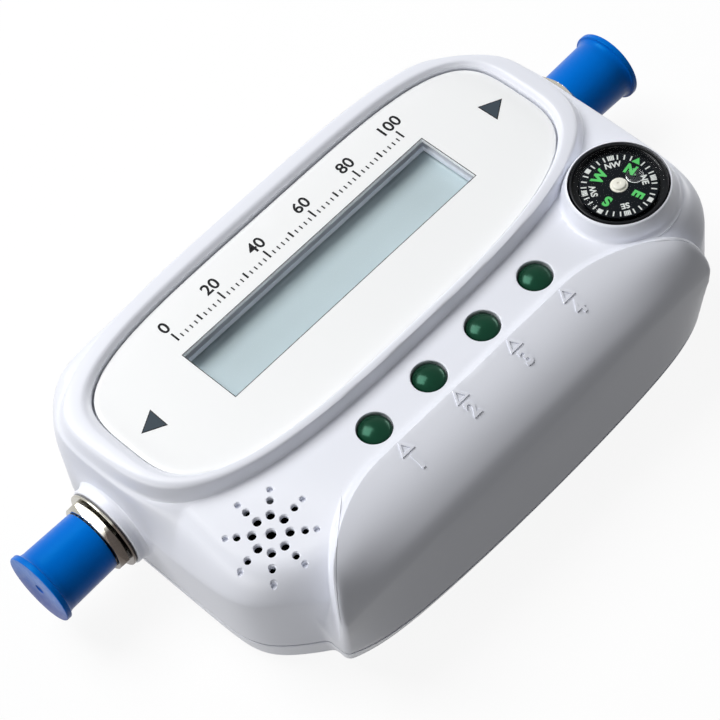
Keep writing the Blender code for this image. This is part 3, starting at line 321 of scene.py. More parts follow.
# Studio: what the floor reflects and adds to look white, the world's light, and the lamps
# as name, place, width, height and power
FLOOR_SIZE = 6.0
FLOOR_LEVEL = -0.0001
FLOOR_TONE = 0.10
FLOOR_GLOW = 0.90
WORLD_LIGHT = 0.045
LAMPS = (("left_lamp", (-0.78, -0.08, 0.16), 0.80, 0.28, 2.5),
         ("right_lamp", (0.78, 0.0, 0.20), 0.50, 0.26, 2.2),
         ("back_lamp", (-0.16, 0.54, 0.82), 0.60, 0.60, 9.8))


def linked(name, data):
    """An object in the scene with the given data."""
    made = bpy.data.objects.new(name, data)
    bpy.context.scene.collection.objects.link(made)
    return made


def make_camera():
    """The camera, fitted to the display's corners, the lamps, the compass and the connectors."""
    data = bpy.data.cameras.new("camera")
    data.lens = 140
    data.sensor_width = 36
    data.clip_start = 0.01
    right = (0.69065, -0.71307, -0.12055)
    up = (0.64511, 0.53212, 0.54835)
    back = (-0.32687, -0.45648, 0.82752)
    place = (-0.14722, -0.20899, 0.37472)
    camera = linked("camera", data)
    camera.matrix_world = Matrix([*zip(right, up, back, place), (0, 0, 0, 1)])
    bpy.context.scene.camera = camera


# Finishes

class Recipe:
    """One procedural material, built node by node round its shader."""

    def __init__(self, name, colour, roughness, metallic=0.0, stretch=None, **sockets):
        self.name = name
        self.material = bpy.data.materials.new(name)
        self.material.use_nodes = True
        self.tree = self.material.node_tree
        self.shader = self.tree.nodes["Principled BSDF"]
        sockets.update(Base_Color=(*colour, 1), Roughness=roughness, Metallic=metallic)
        for socket, value in sockets.items():
            self.shader.inputs[socket.replace("_", " ")].default_value = value
        self.place = self.grain_place = self.node('ShaderNodeTexCoord').outputs["Object"]
        if stretch:
            mapping = self.node('ShaderNodeMapping', Scale=stretch)
            self.link(self.place, mapping.inputs["Vector"])
            self.grain_place = mapping.outputs["Vector"]

    def node(self, kind, **values):
        """A node with its settings and inputs filled in."""
        made = self.tree.nodes.new(kind)
        for key, value in values.items():
            if hasattr(made, key):
                setattr(made, key, value)
            else:
                made.inputs[key.replace("_", " ")].default_value = value
        return made

    def link(self, output, socket):
        self.tree.links.new(output, socket)

    def axis(self, name):
        """One coordinate of the object."""
        split = self.node('ShaderNodeSeparateXYZ')
        self.link(self.place, split.inputs["Vector"])
        return split.outputs[name]

    def noise(self, size, detail):
        """Noise whose features are about size across."""
        made = self.node('ShaderNodeTexNoise', Scale=1 / size, Detail=detail)
        self.link(self.grain_place, made.inputs["Vector"])
        return made.outputs["Fac"]

    def spread(self, value, low, high, start=0.3, end=0.7):
        """A value between start and end mapped to low and high."""
        made = self.node('ShaderNodeMapRange', From_Min=start, From_Max=end, To_Min=low, To_Max=high)
        self.link(value, made.inputs["Value"])
        return made.outputs["Result"]

    def colour(self, share, first, second):
        """Base colour between two tones of the finish."""
        made = self.node('ShaderNodeValToRGB')
        for stop, tone in zip(made.color_ramp.elements, (first, second)):
            stop.color = (*tone, 1)
        self.link(share, made.inputs["Fac"])
        self.link(made.outputs["Color"], self.shader.inputs["Base Color"])
        return made

    def bump(self, height, depth):
        made = self.node('ShaderNodeBump', Strength=1.0, Distance=depth)
        self.link(height, made.inputs["Height"])
        self.link(made.outputs["Normal"], self.shader.inputs["Normal"])

    def texture(self, gloss, grain=None, tone=None):
        """Noises, each of a size and a detail, that drive the finish.

        gloss goes between two roughnesses, grain is a bump of some depth, and tone goes
        between two colours.
        """
        if tone:
            self.colour(self.noise(*tone[:2]), *tone[2:])
        self.link(self.spread(self.noise(*gloss[:2]), *gloss[2:]), self.shader.inputs["Roughness"])
        if grain:
            self.bump(self.noise(*grain[:2]), grain[2])
        return self


def moulded(name, colour, roughness, shift=0.03, grain=0.00018, depth=0.000004, specular=0.5):
    """Moulded plastic: a slow drift of tone, a fine spark-eroded grain and uneven gloss."""
    return Recipe(name, colour, roughness, Specular_IOR_Level=specular).texture(
        (4 * grain, 3, roughness * 0.92, roughness * 1.08), (grain, 2, depth),
        (0.014, 4, [v * (1 - shift) for v in colour], colour))


def metal(name, colour, roughness, stretch=None):
    """Plated metal: fine marks along one direction, with dull and bright patches."""
    return Recipe(name, colour, roughness, 1.0, stretch).texture(
        (0.0009, 5, roughness * 0.7, roughness * 1.35), (0.0002, 3, 0.000003),
        (0.0012, 4, [v * 0.86 for v in colour], colour))


def clear(name, roughness, ior):
    """Clear plastic with the faintest haze and ripple."""
    return Recipe(name, (0.98, 1.0, 1.0), roughness, Transmission_Weight=1.0, IOR=ior).texture(
        (0.004, 3, roughness * 0.5, roughness * 1.6), (0.006, 1, 0.000004))


def blue_plastic():
    """The caps' soft plastic, with painted shade and light: navy towards the base, bright blue on top."""
    cap = Recipe("blue_plastic", (0.0, 0.10, 0.50), 0.32, IOR=1.3, Specular_Tint=(0.0, 0.7, 1.0, 1))
    # Painted shade and light: the blue is darkened low down and brightened on top by height alone.
    painted_shade_ramp = cap.colour(cap.spread(cap.axis("Z"), 0.0, 1.0, 0.0075, 0.0165), (0.0, 0.030, 0.30),
                       (0.0, 0.15, 0.64))
    painted_shade_ramp.color_ramp.interpolation = 'EASE'
    return cap.texture((0.0010, 3, 0.28, 0.38), (0.00025, 2, 0.000005))


def nickel_plate():
    """The connectors' nickel, with painted shade: dark brown-grey on the lamps' side, where the front
    facets face away from the light.
    """
    plate = Recipe("nickel_plate", (0.50, 0.48, 0.42), 0.2, 1.0, (1, 3, 3))
    # Painted shade: a ragged line along Y, in front of which the nickel is painted dark brown-grey.
    painted_shade_line = plate.node('ShaderNodeMath', operation='MULTIPLY_ADD')
    plate.link(plate.noise(0.0009, 4), painted_shade_line.inputs[0])
    painted_shade_line.inputs[1].default_value = 0.0004
    plate.link(plate.axis("Y"), painted_shade_line.inputs[2])
    plate.colour(plate.spread(painted_shade_line.outputs[0], 0.0, 1.0, -0.0037, -0.0032), (0.120, 0.100, 0.085),
                 (0.50, 0.48, 0.42))
    return plate.texture((0.0009, 5, 0.14, 0.27), (0.0002, 3, 0.000003))


def board_green():
    """Solder mask over a grid of tracks."""
    board = Recipe("board_green", (0.02, 0.18, 0.07), 0.4)
    tracks = board.node('ShaderNodeTexBrick', Scale=260, Mortar_Size=0.03,
                        Color1=(0.012, 0.120, 0.050, 1), Color2=(0.016, 0.150, 0.060, 1),
                        Mortar=(0.040, 0.260, 0.110, 1))
    board.link(board.place, tracks.inputs["Vector"])
    board.link(tracks.outputs["Color"], board.shader.inputs["Base Color"])
    board.bump(tracks.outputs["Fac"], 0.00003)
    return board.texture((0.003, 3, 0.32, 0.48))


recipes = [moulded(name, *row) for name, row in MOULDED.items()]
recipes += [metal(name, *row) for name, row in METALS.items()]
recipes += [clear(name, *row) for name, row in CLEAR.items()]
recipes += [
    blue_plastic(), nickel_plate(), board_green(),
    Recipe("green_lens", (0.002, 0.030, 0.014), 0.2, Specular_IOR_Level=0.30,
           Specular_Tint=(0.35, 1.0, 0.7, 1)).texture(
        (0.0012, 3, 0.16, 0.24), (0.0015, 2, 0.000004),
        (0.0030, 2, (0.001, 0.020, 0.008), (0.003, 0.040, 0.019))),
    Recipe("display_glass", (0.52, 0.62, 0.66), 0.16).texture(
        (0.002, 4, 0.12, 0.20), (0.0006, 2, 0.000002),
        (0.020, 2, (0.50, 0.60, 0.64), (0.54, 0.635, 0.67)))]
finishes = {recipe.name: recipe.material for recipe in recipes}


# Meshes

def shown(name, mesh, finish, body="meter", stands_for=None, sharp=SHARP):
    """A finished piece: shaded smooth with its sharp edges kept, riding on its body."""
    mesh.name = name
    made = linked(name, mesh)
    mesh.materials.clear()
    mesh.materials.append(finishes[finish])
    mesh.shade_smooth()
    mesh.set_sharp_from_angle(angle=sharp)
    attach(made, body)
    if stands_for:
        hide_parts(stands_for)
    if finish in CLEAR:
        made.visible_shadow = made.visible_diffuse = made.visible_glossy = False


def closed_grid(points, looped=False, poles=None):
    """A closed body from rings of points (rows, columns, 3).

    Looped, the last ring joins the first. Else both are closed by fans, about their
    middles or the two poles given.
    """
    points = np.asarray(points, float)
    rows, around = points.shape[:2]
    row = np.arange(rows if looped else rows - 1)[:, None] * around
    following = (row + around) % (rows * around)
    j = np.arange(around)
    beside = (j + 1) % around
    quads = np.stack([row + j, row + beside, following + beside, following + j], axis=-1)
    quads = quads.reshape(-1, 4)
    places = points.reshape(-1, 3)
    triangles = np.zeros((0, 3), int)
    if not looped:
        count = len(places)
        last = count - around
        triangles = np.concatenate([
            np.column_stack([np.full(around, count), beside, j]),
            np.column_stack([np.full(around, count + 1), last + j, last + beside])])
        middles = points[[0, -1]].mean(axis=1)
        places = np.concatenate([places, middles if poles is None else poles])
    corners = places[np.concatenate([quads[:, :3], quads[:, [0, 2, 3]], triangles])]
    volume = np.einsum('ij,ij->i', corners[:, 0], np.cross(corners[:, 1], corners[:, 2])).sum()
    faces = quads.tolist() + triangles.tolist()
    if volume < 0:
        faces = [face[::-1] for face in faces]
    mesh = bpy.data.meshes.new("surface")
    mesh.from_pydata(places.tolist(), [], faces)
    mesh.update()
    return mesh


def eased(corners, steps=4):
    """A profile through (radius, distance, easing): each eased corner is a quadratic arc."""
    points = []
    for i, (radius, distance, easing) in enumerate(corners):
        here = np.array([radius, distance])
        if not easing:
            points.append(here)
            continue
        start, end = [here + toward / np.linalg.norm(toward) * easing
                      for toward in (np.array(corners[k % len(corners)][:2]) - here
                                     for k in (i - 1, i + 1))]
        points += [(1 - share) ** 2 * start + 2 * share * (1 - share) * here + share ** 2 * end
                   for share in np.linspace(0, 1, steps + 1)]
    return points


def bend(radius, level, across, along, steps=9):
    """A quarter ellipse: (radius + across (1 - cos a), level + along (1 - sin a))."""
    return [(radius + across * (1 - math.cos(a)), level + along * (1 - math.sin(a)))
            for a in np.linspace(0, math.pi / 2, steps)]


def flare(radius, level, across, along, steps=5):
    """A trumpet mouth: (radius + across (1 - t)^2, level + along t)."""
    return [(radius + across * (1 - t) ** 2, level + along * t) for t in np.linspace(0, 1, steps)]


def rod(radius, low, high):
    """The profile of a plain round rod."""
    return [(0.0, low), (radius, low), (radius, high), (0.0, high)]


def turned(profile, centre, steps=FINE_TURN, sense=0):
    """A profile of (radius, distance) turned about the line through centre.

    The point at angle a is centre + radius (cos a, sin a) across the line and distance
    along it: up, or along X if sense is its direction there. A profile that starts and ends
    off the line is a ring, joined end to end.
    """
    profile = np.asarray(profile, float)
    angles = np.linspace(0, TURN, steps, endpoint=False)
    across = profile[:, :1] * np.cos(angles)
    beside = profile[:, :1] * np.sin(angles)
    level = np.broadcast_to(profile[:, 1:], across.shape)
    points = np.stack([sense * level, across, beside] if sense else [across, beside, level],
                      axis=-1) + centre
    off_start, off_end = profile[0, 0] > 0, profile[-1, 0] > 0
    if off_start and off_end:
        return closed_grid(points, True)
    keep = slice(0 if off_start else 1, None if off_end else -1)
    return closed_grid(points[keep], poles=points[[0, -1]].mean(axis=1))


def turned_at(profile, places, steps):
    """The same upright turned body at several places, as one mesh."""
    return together([turned(profile, (x, y, 0), steps) for x, y in places])


def axis_rings(rows, steps, sense):
    """A ring about the connectors' axis from rows of (radius, distance along it).

    Either may vary with the angle a: the point is (distance, radius cos a, radius sin a).
    """
    angles = np.linspace(0, TURN, steps, endpoint=False)
    radius, distance = [np.array([np.broadcast_to(row[k], angles.shape) for row in rows])
                        for k in (0, 1)]
    points = np.stack([sense * distance, radius * np.cos(angles), radius * np.sin(angles)], axis=-1)
    return closed_grid(points + (0, 0, AXIS_LEVEL), True)


def prism(corners, low, high):
    """An upright prism between two levels; low and high may vary from point to point."""
    corners = np.asarray(corners, float)
    return closed_grid([np.column_stack([corners, np.broadcast_to(level, len(corners))])
                        for level in (low, high)])


def block(x, y, half_x, half_y, low, high):
    """An upright block about (x, y)."""
    points = [(x + i * half_x, y + j * half_y, z) for z in (low, high)
              for i, j in ((-1, -1), (1, -1), (1, 1), (-1, 1))]
    mesh = bpy.data.meshes.new("block")
    mesh.from_pydata(points, [], [(3, 2, 1, 0), (4, 5, 6, 7), (0, 1, 5, 4), (1, 2, 6, 5),
                                  (2, 3, 7, 6), (3, 0, 4, 7)])
    return mesh


def together(meshes):
    """Several meshes as one; the parts are dropped."""
    joined = bmesh.new()
    for mesh in meshes:
        joined.from_mesh(mesh)
        bpy.data.meshes.remove(mesh)
    made = bpy.data.meshes.new("together")
    joined.to_mesh(made)
    joined.free()
    return made


def settled_mesh(holder):
    """The mesh that an object comes to once its curve or its modifiers are worked out."""
    bpy.context.view_layer.update()
    settled = bpy.context.evaluated_depsgraph_get()
    return bpy.data.meshes.new_from_object(holder.evaluated_get(settled))


def carved(mesh, steps):
    """A mesh after unions and cuts: steps are (operation, tool mesh)."""
    holder = linked("carved", mesh)
    helpers = [holder]
    for operation, tool_mesh in steps:
        step = holder.modifiers.new("step", 'BOOLEAN')
        step.operation = operation
        step.solver = 'MANIFOLD'
        step.object = linked("tool", tool_mesh)
        helpers.append(step.object)
    made = settled_mesh(holder)
    for helper in helpers:
        data = helper.data
        bpy.data.objects.remove(helper, do_unlink=True)
        bpy.data.meshes.remove(data)
    return made


def lettering(items, level, thickness, bolder=0.0):
    """Plain characters laid level: items are (text, height, x, y, turn), each centred."""
    made = []
    for text, height, x, y, turn in items:
        curve = bpy.data.curves.new("characters", 'FONT')
        curve.body = text
        curve.size = height / 0.7
        curve.align_x = curve.align_y = 'CENTER'
        curve.extrude = thickness / 2
        curve.offset = bolder
        curve.resolution_u = 5
        holder = linked("characters", curve)
        mesh = settled_mesh(holder)
        bpy.data.objects.remove(holder, do_unlink=True)
        mesh.transform(Matrix.Translation((x, y, level + thickness / 2))
                       @ Matrix.Rotation(turn, 4, 'Z'))
        tidy = bmesh.new()
        tidy.from_mesh(mesh)
        bmesh.ops.remove_doubles(tidy, verts=tidy.verts, dist=0.000002)
        bmesh.ops.recalc_face_normals(tidy, faces=tidy.faces)
        tidy.to_mesh(mesh)
        tidy.free()
        made.append(mesh)
    return made


# Plan outlines of the case. rays are directions from the hub, one a row, and what depends
# on them is a column

def side_pulls(rays, extra, sharpness):
    facing = np.radians(CASE_SIDES[:, 0])[:, None]
    across = np.cos(facing) * rays[:, 0] + np.sin(facing) * rays[:, 1]
    return (np.maximum(across, 0.0) / (CASE_SIDES[:, 1] + extra)[:, None]) ** sharpness


def outline(rays, extra=0.0):
    """Distance from the hub to a rounded polygon: the p-norm of its sides."""
    pulls = side_pulls(rays, extra, CORNER_SHARPNESS)
    return pulls.sum(axis=0)[:, None] ** (-1 / CORNER_SHARPNESS)


def side_blend(rays, column):
    """One property of the sides, blended round the corners."""
    pulls = side_pulls(rays, 0.0, BLEND_SHARPNESS)
    return ((pulls * CASE_SIDES[:, column][:, None]).sum(axis=0) / pulls.sum(axis=0))[:, None]


def halved(inside, shape, limit, steps):
    """Where each ray leaves a body: inside(distance) says whether a point is still in it."""
    low = np.zeros(shape)
    high = np.full(shape, limit)
    for _ in range(steps):
        middle = (low + high) / 2
        within = inside(middle)
        low = np.where(within, middle, low)
        high = np.where(within, high, middle)
    return low


def oval(rays, shape, margin=0.0):
    """Distance from the hub to a superellipse |x/a|^p + |y/b|^p = 1.

    The power p has one value behind the centre line and another in front of it. The left
    half's length grows by lean for each unit behind that line.
    """
    half_length, half_width, centre_y, back_power, front_power, lean = shape

    def inside(reach):
        offset = HUB_Y + reach * rays[:, 1:] - centre_y
        power = np.where(offset > 0, back_power, front_power)
        length = half_length + margin + lean * offset * (rays[:, :1] < 0)
        across = np.abs(reach * rays[:, :1] / length) ** power
        return across + np.abs(offset / (half_width + margin)) ** power < 1
    return halved(inside, (len(rays), 1), OVAL_LIMIT, 40)


def even_rays(steps, dense=0.0):
    """Directions from the hub at even spacing along the outline.

    dense adds spacing, in metres per radian, about the two ends of the apron.
    """
    fine = np.linspace(0, TURN, 40 * steps + 1)
    rays = np.stack([np.cos(fine), np.sin(fine)], axis=1)
    pace = np.hypot(*np.diff(rays * outline(rays), axis=0).T)
    middle = np.degrees((fine[1:] + fine[:-1]) / 2)
    for tip in TIP_TURNS:
        pace += dense * np.exp(-((middle - tip) / TIP_SPREAD) ** 2) * (fine[1] - fine[0])
    travelled = np.concatenate([[0.0], np.cumsum(pace)])
    angles = np.interp(np.arange(steps) * travelled[-1] / steps, travelled, fine)
    return np.stack([np.cos(angles), np.sin(angles)], axis=1)


def smooth_min(a, b, radius):
    near = np.maximum(radius - np.abs(a - b), 0.0)
    return np.minimum(a, b) - near ** 2 / (4 * radius)


def smooth_step(share):
    share = np.clip(share, 0.0, 1.0)
    return share * share * (3 - 2 * share)


def beyond(values, start, end):
    """How far the size of values has gone from start to end, from 0 up."""
    return np.clip((np.abs(values) - start) / (end - start), 0.0, None)


def descent(z, start, end):
    """How far z has come from start to end, from 0 to 1."""
    return np.clip((start - z) / (start - end), 0.0, 1.0)


def deck_height(x, y):
    """A level deck that bends down along a slant line at the left front corner."""
    past = x * math.cos(DECK_TILT_DIRECTION) + y * math.sin(DECK_TILT_DIRECTION) - DECK_TILT_START
    fall = (past + np.sqrt(past ** 2 + DECK_TILT_SOFTNESS ** 2)) / 2
    return DECK_LEVEL - DECK_TILT * fall


class CaseRays:
    """Everything about the case that depends only on the direction from the hub."""

    def __init__(self, rays):
        self.rays = rays
        self.recess = oval(rays, PANEL_OVAL, GAP)
        self.edge = outline(rays)
        self.foot = smooth_min(oval(rays, FOOT_OVAL), self.edge - GAP, FOOT_BLEND)
        self.seam = outline(rays, CASE_SIDES[:, 4])
        self.shoulder = np.minimum(side_blend(rays, 2), np.maximum(self.edge - self.foot, GAP))
        self.edge_height = PANEL_LEVEL - side_blend(rays, 3)
        self.rim = deck_height(*self.spot(self.edge))

    def spot(self, reach):
        """Plan places at distances from the hub."""
        return self.rays[:, :1] * reach, HUB_Y + self.rays[:, 1:] * reach

    def rings(self, reach, level):
        """Rings as points (ring, direction, 3) from reaches and levels (direction, ring)."""
        level = np.broadcast_to(level, reach.shape)
        return np.stack([*self.spot(reach), level], axis=-1).transpose(1, 0, 2)


def ridge_rise(share):
    """Height of the ridge from its inner lip (0) to its foot (1), as a share of its top.

    A short quarter wave rises to a gently domed top, and a steep smooth step falls to
    the deck.
    """
    inner = (RIDGE_LIP + DECK_DEPTH) / (RIDGE_HEIGHT + DECK_DEPTH)
    rising = inner + (1 - inner) * np.sin(np.pi / 2 * np.clip(share / RIDGE_RISE_END, 0, 1))
    dome = 1 - RIDGE_DOMING * np.clip(share - RIDGE_RISE_END, 0, 1) ** 2
    return rising * dome * (1 - smooth_step((share - RIDGE_FALL_START) / (1 - RIDGE_FALL_START)))


def case_top(case, reach):
    """Height of the case with its ridge, and of the skin alone that falls to the walls."""
    share = np.clip((reach - case.recess) / (case.foot - case.recess), 0.0, 1.0)
    nearness = np.clip(1 - (case.edge - reach) / case.shoulder, 0.0, 1.5)
    skin = (deck_height(*case.spot(reach))
            - (case.rim - case.edge_height) * nearness ** SHOULDER_POWER)
    settled = DECK_LEVEL + (skin - DECK_LEVEL) * smooth_step((share - 0.5) / 0.5)
    return settled + (DECK_DEPTH + RIDGE_HEIGHT) * ridge_rise(share), skin


def crest_line(x):
    """Plan place and height of the apron's crest."""
    y = CREST_Y - CREST_SWEEP * beyond(x, CREST_SWEEP_START, APRON_HALF) ** 2
    z = PANEL_LEVEL - CREST_DEPTH - TIP_FALL * beyond(x, TIP_FALL_START, APRON_HALF) ** 3
    return y, z


def apron_shoulder(x):
    """How near x is to the apron's tips, and the height of its shoulder there."""
    s = np.clip(np.abs(x) / APRON_HALF, 0.0, 1.0)
    return s, PANEL_LEVEL - SHOULDER_DEPTH - SHOULDER_TIP_FALL * s ** 4


def apron_front(x, y):
    """Height of the convex slope in front of the crest.

    It falls by lead * share + (1 - lead) * share ** power, so that it steepens steadily.
    """
    crest_y, crest_z = crest_line(x)
    share = np.clip((crest_y - y) / np.maximum(crest_y - SHOULDER_Y, GAP), 0.0, 1.3)
    fall = SLOPE_LEAD * share + (1 - SLOPE_LEAD) * share ** SLOPE_POWER
    return crest_z - (crest_z - apron_shoulder(x)[1]) * fall


def apron_depth(x, y, z, skin):
    """Depth inside the apron: under its slope and ramp, behind its front, between its ends."""
    crest_y, crest_z = crest_line(x)
    s, shoulder_z = apron_shoulder(x)
    slant = 2 * CREST_SWEEP * beyond(x, CREST_SWEEP_START, APRON_HALF) / (
        APRON_HALF - CREST_SWEEP_START)
    behind = (y - crest_y) / np.sqrt(1 + slant ** 2)
    drop = crest_z - skin + RAMP_SINK
    run = np.maximum(behind, 0.0) / RAMP_LENGTH
    ramp = crest_z - drop * np.where(drop > 0, run, np.minimum(run, 1.0))
    top = np.where(y > crest_y, ramp, apron_front(x, y))
    waist_y = WAIST_Y + WAIST_TIP_SHIFT * s ** 2
    seam_y = APRON_SEAM_Y + APRON_SEAM_BOW * s ** 2 + APRON_SEAM_TIP_ROUND * s ** 8
    upper = descent(z, WAIST_LEVEL, shoulder_z)
    lower = descent(z, WAIST_LEVEL, SEAM_LEVEL)
    below = descent(z, SEAM_LEVEL, BASE_ROUND)
    front_y = (waist_y + (SHOULDER_Y - waist_y) * upper ** 1.15 + (seam_y - waist_y) * lower
               + APRON_BASE_INSET * below)
    half = APRON_HALF - (APRON_HALF - APRON_SEAM_HALF) * lower - APRON_BASE_INSET / 2 * below
    depth = smooth_min(top - z, y - front_y, APRON_EDGE_BLEND)
    return smooth_min(depth, half - np.abs(x), APRON_END_BLEND)


def skin_depth(case, reach, z):
    """Depth inside the whole moulding: the smooth union of the case and the apron."""
    top, skin = case_top(case, reach)
    wall = (case.edge + (case.seam - case.edge) * descent(z, case.edge_height, SEAM_LEVEL)
            - BASE_INSET * descent(z, SEAM_LEVEL, BASE_ROUND))
    body = smooth_min(top - z, wall - reach, EDGE_BLEND)
    return -smooth_min(-body, -apron_depth(*case.spot(reach), z, skin), APRON_BLEND)


def along_lines(travelled, columns, wanted):
    """Columns of values at wanted places along many lines at once, laid end to end."""
    offset = np.arange(len(travelled))[:, None] * (travelled.max() - travelled.min() + 1.0)
    flat = (travelled + offset).ravel()
    return [np.interp((wanted + offset).ravel(), flat, column.ravel()).reshape(wanted.shape)
            for column in columns]


def skin_rings(case):
    """Reaches and levels of the outer skin's rings, from the ridge's lip down to the seam.

    In the upright plane of each direction a fan of rays from a point low inside meets the
    skin where skin_depth is zero. The line so found is cut again at even lengths, with
    one ring kept on the ridge's foot and one on the apron's crest.
    """
    lip = case.recess + LIP_WIDTH
    lip_level = case_top(case, lip)[0]
    bottom = SEAM_LEVEL + GAP
    hub_reach = case.recess - FAN_INSET
    start = np.arctan2(lip_level - bottom, lip - hub_reach)
    fan = start * (1 - np.linspace(0, 1, FAN_RAYS)[None, :] ** FAN_POWER)

    def inside(distance):
        return skin_depth(case, hub_reach + distance * np.cos(fan),
                          bottom + distance * np.sin(fan)) > 0
    distance = halved(inside, fan.shape, SKIN_LIMIT, SKIN_STEPS)
    reach = hub_reach + distance * np.cos(fan)
    level = bottom + distance * np.sin(fan)
    reach[:, :1] = lip
    level[:, :1] = lip_level
    step = np.hypot(np.diff(reach, axis=1), np.diff(level, axis=1))
    travelled = np.concatenate([np.zeros((len(reach), 1)), np.cumsum(step, axis=1)], axis=1)
    outward = np.maximum.accumulate(reach, axis=1) + np.arange(reach.shape[1]) * 1e-9

    def before_crest(distance):
        x, y = case.spot(distance)
        return y > crest_line(x)[0]
    crest = halved(before_crest, case.foot.shape, SKIN_LIMIT, 40)
    crest = np.minimum(crest, case.foot + (outward[:, -1:] - case.foot) * 0.85)
    foot_at, crest_at = [along_lines(outward, [travelled], mark)[0] for mark in (case.foot, crest)]
    crest_at = np.maximum(crest_at, foot_at + 0.0002)
    ridge, deck, wall = [np.linspace(0, 1, count, endpoint=last)[None, :] for count, last in
                         ((RIDGE_RINGS, False), (DECK_RINGS, False), (WALL_RINGS, True))]
    wanted = np.concatenate([foot_at * ridge, foot_at + (crest_at - foot_at) * deck,
                             crest_at + (travelled[:, -1:] - crest_at) * wall], axis=1)
    return along_lines(travelled, [reach, level], wanted)


def skin_height(places):
    """Height of the case's skin, with the shoulders' fall, at places (x, y) of the deck."""
    arms = places - np.array([0.0, HUB_Y])
    reach = np.hypot(*arms.T)[:, None]
    return case_top(CaseRays(arms / reach), reach)[1][:, 0]


# Moulded shells

def flared_hole(x, y, radius, low, rim, steps):
    """A cutter for a round hole whose rim is eased: a rod with a trumpet mouth."""
    mouth = flare(radius, rim, HOLE_FLARE, -1.2 * HOLE_FLARE)[::-1]
    return turned([(0.0, low), (radius, low)] + mouth
                  + [(radius + HOLE_FLARE, rim + OVERRUN), (0.0, rim + OVERRUN)], (x, y, 0), steps)


def sound_holes():
    """Eight rays of three holes that shrink outwards, and one in the middle.

    The outermost holes are blind; the others lead to the pocket behind a thin wall.
    """
    holes = [(GRILLE_X, GRILLE_Y, *GRILLE_CENTRE)]
    for angle in np.arange(GRILLE_RAYS) * TURN / GRILLE_RAYS:
        holes += [(GRILLE_X + reach * math.cos(angle), GRILLE_Y + reach * math.sin(angle), *hole)
                  for reach, *hole in GRILLE_RINGS]
    rims = skin_height(np.array(holes)[:, :2]) + 0.00002
    return together([flared_hole(x, y, radius, rim - depth, rim, 28)
                     for (x, y, radius, depth), rim in zip(holes, rims)])


def sound_pocket():
    """The pocket that thins the wall behind the sound holes."""
    turn = np.linspace(0, TURN, FINE_TURN, endpoint=False)
    ring = np.column_stack([GRILLE_X + GRILLE_POCKET * np.cos(turn),
                            GRILLE_Y + GRILLE_POCKET * np.sin(turn)])
    return prism(ring, GRILLE_POCKET_LOW, skin_height(ring) - GRILLE_WALL)


def window_cutter(margin, low, high):
    return block(WINDOW_X, WINDOW_Y, WINDOW_HALF_X + margin, WINDOW_HALF_Y + margin, low, high)


def connector_collars():
    """Round collars on the end walls; their root flares as (1 - share) squared."""
    made = []
    for sense, wall_x in WALL_FACES_X:
        profile = [(0.0, COLLAR_INNER_X), (COLLAR_RADIUS + COLLAR_FLARE, COLLAR_INNER_X)]
        profile += flare(COLLAR_RADIUS, wall_x - COLLAR_ROOT, COLLAR_FLARE, COLLAR_ROOT_LENGTH, 6)
        profile += bend(COLLAR_RADIUS, COLLAR_FACE_X, -COLLAR_EASE, -COLLAR_EASE, 6)
        made.append(turned(profile + [(0.0, COLLAR_FACE_X)], (0, 0, AXIS_LEVEL), sense=sense))
    return together(made)


def compass_boss():
    """The boss round the compass: a cove at its foot and a rounded rim."""
    foot = DECK_LEVEL - BOSS_COVE_SINK
    low = COMPASS_RIM - CUP_DEPTH - GAP - WALL
    profile = [(0.0, low), (BOSS_TOP_RADIUS, low), (BOSS_FOOT_RADIUS + BOSS_COVE, DECK_LEVEL - BOSS_ROOT)]
    profile += [(BOSS_FOOT_RADIUS + BOSS_COVE * (1 - t) ** 2, foot + BOSS_COVE_HEIGHT * t ** 2)
                for t in np.linspace(0, 1, 9)]
    profile += bend(BOSS_TOP_RADIUS, COMPASS_RIM, -BOSS_EASE, -BOSS_EASE)
    return turned(profile + [(0.0, COMPASS_RIM)], (COMPASS_X, COMPASS_Y, 0), ROUND_TURN)


def shell_surface():
    """The upper moulding as one closed grid: panel recess, skin, seam rim and hollow."""
    case = CaseRays(even_rays(AROUND, TIP_DENSITY))
    reach, level = skin_rings(case)
    floor = PANEL_LEVEL - PANEL_THICKNESS - GAP
    lip = level[:, :1]
    bottom = SEAM_LEVEL + GAP
    seam = reach[:, -1:]
    outer = case.rings(reach, level)
    outer[-2] = case.rings(seam - 0.00003, bottom + 0.00010)[0]
    outer[-1] = case.rings(seam - 0.00012, bottom)[0]
    hollow_edge = outline(case.rays, CASE_SIDES[:, 4] - WALL)
    hollow_foot = case.foot - WALL / 2
    grid = [case.rings(case.recess, floor), case.rings(case.recess, lip - 0.00018),
            case.rings(case.recess + 0.00005, lip - 0.00005), outer,
            case.rings(hollow_edge, bottom)]
    for share in (1.0, 0.93, 0.8, 0.5, 0.0):
        skin = case_top(case, case.foot + (case.edge - case.foot) * share)[1]
        grid.append(case.rings(hollow_foot + (hollow_edge - hollow_foot) * share, skin - WALL))
    grid.append(case.rings(oval(case.rays, PANEL_OVAL, -WALL), floor - WALL))
    return closed_grid(np.concatenate(grid))


